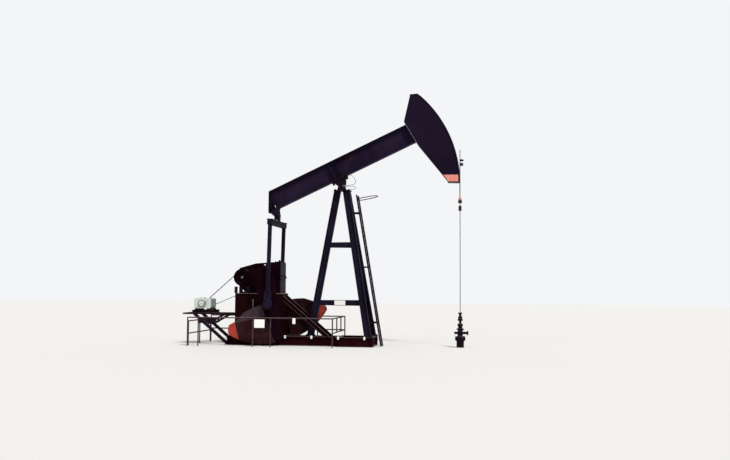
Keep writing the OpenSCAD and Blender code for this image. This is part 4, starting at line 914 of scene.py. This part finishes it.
@dataclass
class PostFittings(Fittings):
    """Foot plates and bolts of the post, clamps of the base, the saddle's clamp bolts and grease lines.

    The measures of the saddle's lugs and blocks are in the beam's frame. upper_bend holds two places on the
    upper grease line, which is left as a loose object.
    """

    feet_at: tuple[Triple, ...] = ((-1.19, 0.0, 0.0), (1.15, -0.69, 0.0), (1.15, 0.69, 0.0))
    foot: Triple = (0.36, 0.18, 0.018)
    foot_soft: float = 0.003
    foot_bolts: Grid = Grid((-0.158, 0.158), (-0.062, 0.062), (0.018,), 0.042)
    clamps_at: tuple[Triple, ...] = (
        (-2.08, -0.5, 0.0), (-1.05, -0.5, 0.0), (0.035, -0.8, 0.0), (1.03, -0.8, 0.0))
    clamp: Blocks = (((0.07, 0.012, 0.11), (0.0, -0.006, -0.02)), ((0.07, 0.075, 0.014), (0.0, 0.026, 0.007)))
    clamp_soft: float = 0.002
    clamp_bolt: Grid = Grid((0.0,), (0.035,), (0.014,), 0.03)
    cap_bolts: Grid = Grid((-0.23, 0.29), (-0.185, 0.185), (0.03,), 0.04)
    shaft_end: float = 0.218
    shaft_bolts: Ring = Ring(3, 0.035, 0.02)
    saddle_top: Grid = Grid((-0.29, 0.29), (-0.17, 0.17), (0.29,), 0.05)
    saddle_under: Grid = Grid((-0.29, 0.29), (-0.17, 0.17), (0.20,), 0.05, Side.DOWN)
    lug: Triple = (0.08, 0.06, 0.06)
    lug_up: float = 0.26
    lug_soft: float = 0.004
    block: Triple = (0.07, 0.14, 0.10)
    block_up: float = 0.153
    block_soft: float = 0.006
    line_r: float = 0.01
    lower_line: tuple[Triple, ...] = (
        (0.09, -0.229, 6.125), (0.35, -0.24, 6.13), (0.53, -0.25, 6.13), (0.575, -0.25, 6.09),
        (0.55, -0.25, 6.03), (0.475, -0.25, 6.005), (0.40, -0.245, 6.02), (0.345, -0.228, 6.01))
    upper_line: tuple[Triple, ...] = (
        (0.07, -0.229, 6.17), (0.33, -0.235, 6.165), (0.50, -0.24, 6.20), (0.575, -0.245, 6.27),
        (0.57, -0.24, 6.36), (0.51, -0.22, 6.46), (0.43, -0.20, 6.54), (0.36, -0.18, 6.565))
    upper_bend: tuple[Triple, Triple] = ((0.33, -0.235, 6.165), (0.40, -0.19, 6.55))

    def feet(self) -> None:
        """Builds the foot plates under the three legs, with their nuts, and the clamps along the base."""
        deck = Vector((0.0, 0.0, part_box("base_front")[1].z))
        plates = Piece("post_feet", Body.FRAME, "black_paint")
        for spot in self.feet_at:
            leg = deck + Vector(spot)
            plates.box(self.foot, leg + Vector((0.0, 0.0, self.foot[2] / 2)), soft=self.foot_soft)
            plates.grid(self.foot_bolts, leg)
        plates.finish(self.materials["post"])
        clamps = Piece("base_clamps", Body.FRAME, "black_paint")
        for edge in self.clamps_at:
            for size, spot in self.clamp:
                clamps.box(size, deck + Vector(edge) + Vector(spot), soft=self.clamp_soft)
            clamps.grid(self.clamp_bolt, deck + Vector(edge))
        clamps.finish(self.materials["white"])

    def cap(self) -> None:
        """Builds the bolts of the cap plate and of the saddle shaft's ends."""
        bolts = Piece("cap_bolts", Body.FRAME, "black_paint")
        bolts.grid(self.cap_bolts, (0.0, 0.0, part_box("post_rear_leg")[1].z))
        for sign, side in NEAR_AND_FAR:
            bolts.ring(self.shaft_bolts, Vector((0.0, sign * self.shaft_end, self.layout.saddle.z)), side)
        bolts.finish(self.materials["black"])

    def saddle(self) -> None:
        """Builds the clamp bolts, lugs and blocks that hold the beam on its saddle bearing."""
        saddle, turn = self.layout.saddle, self.layout.beam_turn
        clamps = Piece("saddle_bolts", Body.BEAM, "black_paint")
        for grid in (self.saddle_top, self.saddle_under):
            clamps.grid(grid, saddle, turn)
        for x in self.saddle_top.xs:
            for y in self.saddle_top.ys:
                clamps.box(self.lug, saddle + turn @ Vector((x, y, self.lug_up)), turn, soft=self.lug_soft)
            middle = saddle + turn @ Vector((x, 0.0, self.block_up))
            clamps.box(self.block, middle, turn, soft=self.block_soft)
        clamps.finish(self.materials["black"])

    def build(self) -> None:
        """Builds the fittings."""
        self.feet()
        self.cap()
        self.saddle()
        lower = Piece("grease_line", Body.FRAME, "machined_steel")
        lower.tube(self.lower_line, self.line_r)
        lower.finish(self.materials["fitting"])
        upper = Piece("bearing_grease_line", Body.FRAME, "machined_steel")
        upper.tube(self.upper_line, self.line_r)
        start, end = self.upper_bend
        upper.finish(self.materials["fitting"], Bend(Body.BEAM, Vector(start), Vector(end)))


@dataclass
class LinkageFittings(Fittings):
    """End plates and bolts of the wrist bearings, crank hubs, tail pin and counterweights.

    The tail's grid and the grease cup are in the beam's frame. cup and nipple are radius, length and tip.
    """

    throw: float = 1.067
    wrist_y: float = 1.2
    wrist_bolts: Ring = Ring(8, 0.148, 0.03)
    hub_y: float = 0.828
    hub_r: float = 0.1
    hub_t: float = 0.016
    hub_bolts: Ring = Ring(4, 0.06, 0.03)
    weight_reaches: tuple[float, ...] = (1.50, 1.95, 2.30)
    weight_edge: float = 0.49
    weight_taper: float = 0.22 / 2.44
    weight_y: float = 0.9
    weight_nut: float = 0.055
    tail_y: float = 0.183
    tail_nut: float = 0.07
    tail_bolts: Grid = Grid((-2.98, -2.70), (-0.172, 0.172), (0.23,), 0.036)
    cup: Triple = (0.024, 0.05, 0.016)
    cup_at: Triple = (-2.729, -0.13, 0.355)
    cup_stem: tuple[Triple, ...] = ((-2.729, -0.13, 0.255), (-2.729, -0.13, 0.34))
    cup_stem_r: float = 0.009
    nipple: Triple = (0.02, 0.03, 0.012)
    nipples_at: tuple[Triple, ...] = ((-2.562, -0.128, 4.955), (-2.562, -0.128, 4.84))

    def cranks(self) -> None:
        """Builds the bolts of the wrist bearings, the crankshaft's end plates and the weights' bolts."""
        wrist = self.layout.crank_frame @ Vector((self.throw, 0.0, 0.0))
        rings = Piece("wrist_bolts", Body.PITMANS, "black_paint")
        for sign, side in NEAR_AND_FAR:
            rings.ring(self.wrist_bolts, Vector((wrist.x, sign * self.wrist_y, wrist.z)), side)
        rings.finish(self.materials["black"])
        hubs = Piece("crank_end_plates", Body.CRANKS, "black_paint")
        for sign, side in NEAR_AND_FAR:
            face = Vector((self.layout.crank.x, sign * self.hub_y, self.layout.crank.z))
            hubs.round(self.hub_r, self.hub_t, face, side.turn, sides=32)
            hubs.ring(self.hub_bolts, face + Vector((0.0, sign * self.hub_t / 2, 0.0)), side)
        hubs.finish(self.materials["black"])
        blocks = Piece("weight_bolts", Body.CRANKS, "red_brown_paint")
        for sign, side in NEAR_AND_FAR:
            for reach in self.weight_reaches:
                edge = sign * (self.weight_edge - self.weight_taper * reach)
                spot = self.layout.crank_frame @ Vector((reach, 0.0, edge))
                blocks.bolt(Vector((spot.x, sign * self.weight_y, spot.z)), side.turn, self.weight_nut)
        blocks.finish(self.materials["weight"])

    def build(self) -> None:
        """Builds the fittings."""
        self.cranks()
        beam, turn, pin = self.layout.beam, self.layout.beam_turn, self.layout.tail
        tail = Piece("tail_fittings", Body.BEAM, "black_paint")
        for sign, side in NEAR_AND_FAR:
            tail.bolt(Vector((pin.x, sign * self.tail_y, pin.z)), side.turn, self.tail_nut)
        tail.grid(self.tail_bolts, self.layout.saddle, turn)
        tail.finish(self.materials["black"])
        cup = Piece("grease_cup", Body.BEAM, "machined_steel")
        cup.tube([beam @ Vector(spot) for spot in self.cup_stem], self.cup_stem_r)
        radius, length, tip = self.cup
        cup.round(radius, length, beam @ Vector(self.cup_at), turn, tip=tip, sides=16)
        cup.finish(self.materials["white"])
        nipples = Piece("grease_nipples", Body.PITMANS, "machined_steel")
        radius, length, tip = self.nipple
        for spot in self.nipples_at:
            nipples.round(radius, length, Vector(spot), Side.NEAR.turn, tip=tip, sides=14)
        nipples.finish(self.materials["white"])


@dataclass
class RodFittings(Fittings):
    """The upper rod clamp, the clamps' bolts, the wire lines that hang from the head, and its lifting lug.

    The clamp's places start from the rod's axis, and the lug's from the saddle in the beam's frame.
    """

    clamp: Triple = (0.13, 0.11, 0.07)
    clamp_at: Triple = (0.049, 0.0, 7.11)
    clamp_soft: float = 0.008
    clamp_bolts: tuple[Grid, ...] = (Grid((0.114,), (-0.036, 0.036), (7.11,), 0.03, Side.FRONT),
                                     Grid((0.102,), (-0.034, 0.034), (6.92, 6.95, 6.98), 0.02, Side.FRONT),
                                     Grid((0.012,), (-0.072,), (5.20, 5.265, 5.33), 0.022, Side.FRONT))
    ear: Triple = (0.05, 0.025, 0.03)
    ear_y: float = -0.064
    ear_zs: tuple[float, ...] = (5.20, 5.265, 5.33)
    ear_soft: float = 0.003
    lug: Triple = (0.09, 0.03, 0.07)
    lug_at: Triple = (3.90, 0.0, 1.985)
    lug_soft: float = 0.006

    def build(self) -> None:
        """Builds the fittings."""
        low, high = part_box("carrier_bar")
        rod = Vector(((low.x + high.x) / 2, 0.0, 0.0))
        clamp = Piece("rod_clamp", Body.ROD, "machined_steel")
        clamp.box(self.clamp, rod + Vector(self.clamp_at), soft=self.clamp_soft)
        for z in self.ear_zs:
            clamp.box(self.ear, rod + Vector((0.0, self.ear_y, z)), soft=self.ear_soft)
        for grid in self.clamp_bolts:
            clamp.grid(grid, rod)
        clamp.finish(self.materials["black"])
        low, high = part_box("hanger_wires")
        radius = (high.x - low.x) / 2
        lines = Piece("hanging_lines", Body.FRAME, "wire_rope")
        for y in (low.y + radius, high.y - radius):
            centre = Vector((low.x + radius, y, (low.z + high.z) / 2))
            lines.round(radius, high.z - low.z, centre, Side.UP.turn, sides=16)
        bend = Bend(Body.ROD, high, Vector((high.x, high.y, low.z)))
        lines.finish(self.materials["rope"], bend, "hanger_wires")
        lug = Piece("lifting_lug", Body.BEAM, "black_paint")
        lug.box(self.lug, self.layout.beam @ Vector(self.lug_at), self.layout.beam_turn, soft=self.lug_soft)
        lug.finish(self.materials["fitting"])


@dataclass
class WellheadFittings(Fittings):
    """Flange bolts of the casing head, its outlet and the stuffing box, each ring with its height."""

    deck: Ring = Ring(12, 0.168, 0.034)
    deck_top: float = 0.387
    deck_under: float = 0.289
    joint: Ring = Ring(8, 0.11, 0.026)
    joint_z: float = 0.70
    outlet: Ring = Ring(6, 0.058, 0.018)
    outlet_z: float = 0.545

    def build(self) -> None:
        """Builds the bolts."""
        low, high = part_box("stuffing_box")
        x = (low.x + high.x) / 2
        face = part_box("casing_head")[1].x
        bolts = Piece("wellhead_bolts", Body.FRAME, "black_paint")
        for ring, spot, side in ((self.deck, (x, 0.0, self.deck_top), Side.UP),
                                 (self.deck, (x, 0.0, self.deck_under), Side.DOWN),
                                 (self.joint, (x, 0.0, self.joint_z), Side.UP),
                                 (self.outlet, (face, 0.0, self.outlet_z), Side.FRONT)):
            bolts.ring(ring, Vector(spot), side)
        bolts.finish(self.materials["black"])


@dataclass
class MotorFittings(Fittings):
    """Air slots and cap of the motor's fan, the screws of its lid, and the bolts of its slide rails."""

    slot: Triple = (0.021, 0.006, 0.055)
    slot_count: int = 20
    slot_r: float = 0.125
    cap_r: float = 0.035
    cap_t: float = 0.008
    lid_xs: tuple[float, ...] = (-0.18, -0.03)
    lid_ys: tuple[float, ...] = (0.29, 0.45)
    screw_r: float = 0.009
    screw_h: float = 0.006
    slide_bolts: Grid = Grid((-5.79, -5.04), (-0.385, -0.288, 0.288, 0.385), (0.016,), 0.03)

    def build(self) -> None:
        """Builds the fittings."""
        low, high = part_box("motor")
        centre = Vector((self.layout.motor.x, low.y, self.layout.motor.z))
        # The slots are thin boxes in a darker coat: painted shade of the fan cover's openings.
        slots = Piece("fan_slots", Body.FRAME, "motor_enamel")
        for step in range(self.slot_count):
            spin = Matrix.Rotation(math.tau * step / self.slot_count, 4, "Y")
            slots.box(self.slot, centre + spin @ Vector((0.0, 0.0, self.slot_r)), spin)
        slots.finish(self.materials["slot"])
        screws = Piece("motor_bolts", Body.FRAME, "motor_enamel")
        screws.round(self.cap_r, self.cap_t, centre, Side.NEAR.turn, sides=20)
        for x, y in product(self.lid_xs, self.lid_ys):
            spot = Vector((centre.x + x, centre.y + y, high.z + self.screw_h / 2))
            screws.round(self.screw_r, self.screw_h, spot, Side.UP.turn, sides=10)
        screws.finish(self.materials["motor"])
        slide = Piece("slide_bolts", Body.FRAME, "black_paint")
        slide.grid(self.slide_bolts, (0.0, 0.0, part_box("motor_stand")[1].z))
        slide.finish(self.materials["black"])


@dataclass(frozen=True)
class Lamp:
    """A distant soft lamp, with its height above the floor, its heading and its angular size in degrees."""

    name: str
    strength: float
    height: float
    heading: float
    soft: float

    def build(self) -> None:
        """Builds the lamp."""
        data = bpy.data.lights.new(self.name, "SUN")
        data.energy = self.strength
        data.angle = math.radians(self.soft)
        thing = bpy.data.objects.new(self.name, data)
        up, heading = math.radians(self.height), math.radians(self.heading)
        away = Vector((math.cos(up) * math.sin(heading), math.cos(up) * math.cos(heading), math.sin(up)))
        thing.rotation_euler = away.to_track_quat("Z", "Y").to_euler()
        bpy.context.scene.collection.objects.link(thing)


@dataclass
class Studio:
    """Plain floor, soft light and the camera at the photograph's viewing angle.

    sky is the world's strength as light. Seen by the camera, or in metal and gloss, it is 1.
    """

    floor_size: float = 160.0
    floor_coat: str = "#e4e2de"
    sky_coat: str = "#f4f5f7"
    sky: float = 0.5
    lamps: tuple[Lamp, ...] = (Lamp("key", 2.6, 52.0, 140.0, 8.0), Lamp("fill", 0.25, 35.0, 220.0, 40.0))
    eye: Triple = (5.623, -32.514, 2.294)
    yaw: float = math.radians(-8.2375)
    pitch: float = math.radians(3.7573)
    roll: float = math.radians(0.3433)
    lens_mm: float = 41.99
    sensor_mm: float = 36.0
    far: float = 500.0

    def floor(self) -> None:
        """Builds the floor: fine pale plaster, matt and even."""
        mesh = bmesh.new()
        bmesh.ops.create_grid(mesh, x_segments=1, y_segments=1, size=self.floor_size / 2)
        data = bpy.data.meshes.new("floor")
        mesh.to_mesh(data)
        mesh.free()
        material, _, shader = blank_material("pale plaster floor", 0.95, gloss=0.25)
        shader.inputs["Base Color"].default_value = linear(self.floor_coat)
        data.materials.append(material)
        thing = bpy.data.objects.new("floor", data)
        bpy.context.scene.collection.objects.link(thing)

    def world(self) -> None:
        """Sets a soft white world that the camera and glossy surfaces see as pale."""
        world = bpy.data.worlds.new("studio")
        bpy.context.scene.world = world
        world.use_nodes = True
        tree = world.node_tree
        background = tree.nodes["Background"]
        background.inputs["Color"].default_value = linear(self.sky_coat)
        rays = add_node(tree, Kind.RAYS)
        seen = rays.outputs["Is Camera Ray"]
        for ray in ("Is Glossy Ray", "Is Transmission Ray"):
            seen = add_node(tree, Kind.MATH, {"operation": "MAXIMUM"},
                            {0: seen, 1: rays.outputs[ray]}).outputs[0]
        strength = add_node(tree, Kind.RANGE, {"To Min": self.sky, "To Max": 1.0}, {"Value": seen})
        tree.links.new(strength.outputs["Result"], background.inputs["Strength"])

    def camera(self) -> None:
        """Places the camera."""
        data = bpy.data.cameras.new("camera")
        data.sensor_width = self.sensor_mm
        data.lens = self.lens_mm
        data.clip_end = self.far
        thing = bpy.data.objects.new("camera", data)
        turn = (Matrix.Rotation(-self.yaw, 4, "Z") @ Matrix.Rotation(math.radians(90) + self.pitch, 4, "X")
                @ Matrix.Rotation(self.roll, 4, "Z"))
        thing.matrix_world = Matrix.Translation(self.eye) @ turn
        bpy.context.scene.collection.objects.link(thing)
        bpy.context.scene.camera = thing

    def build(self) -> None:
        """Builds the floor, the light and the camera."""
        self.floor()
        self.world()
        for lamp in self.lamps:
            lamp.build()
        self.camera()
        bpy.context.scene.view_settings.view_transform = "Standard"


def main() -> None:
    """Builds the scene in order."""
    logging.basicConfig(level=logging.INFO, format="%(name)s: %(message)s")
    layout = Layout()
    materials = Finishes(layout).make()
    dress_nodes(materials, NODE_PLAN)
    for part in (Guard, GearboxFittings, PostFittings, LinkageFittings, RodFittings, WellheadFittings,
                 MotorFittings):
        part(layout, materials).build()
    Studio().build()


if __name__ == "__main__":
    main()
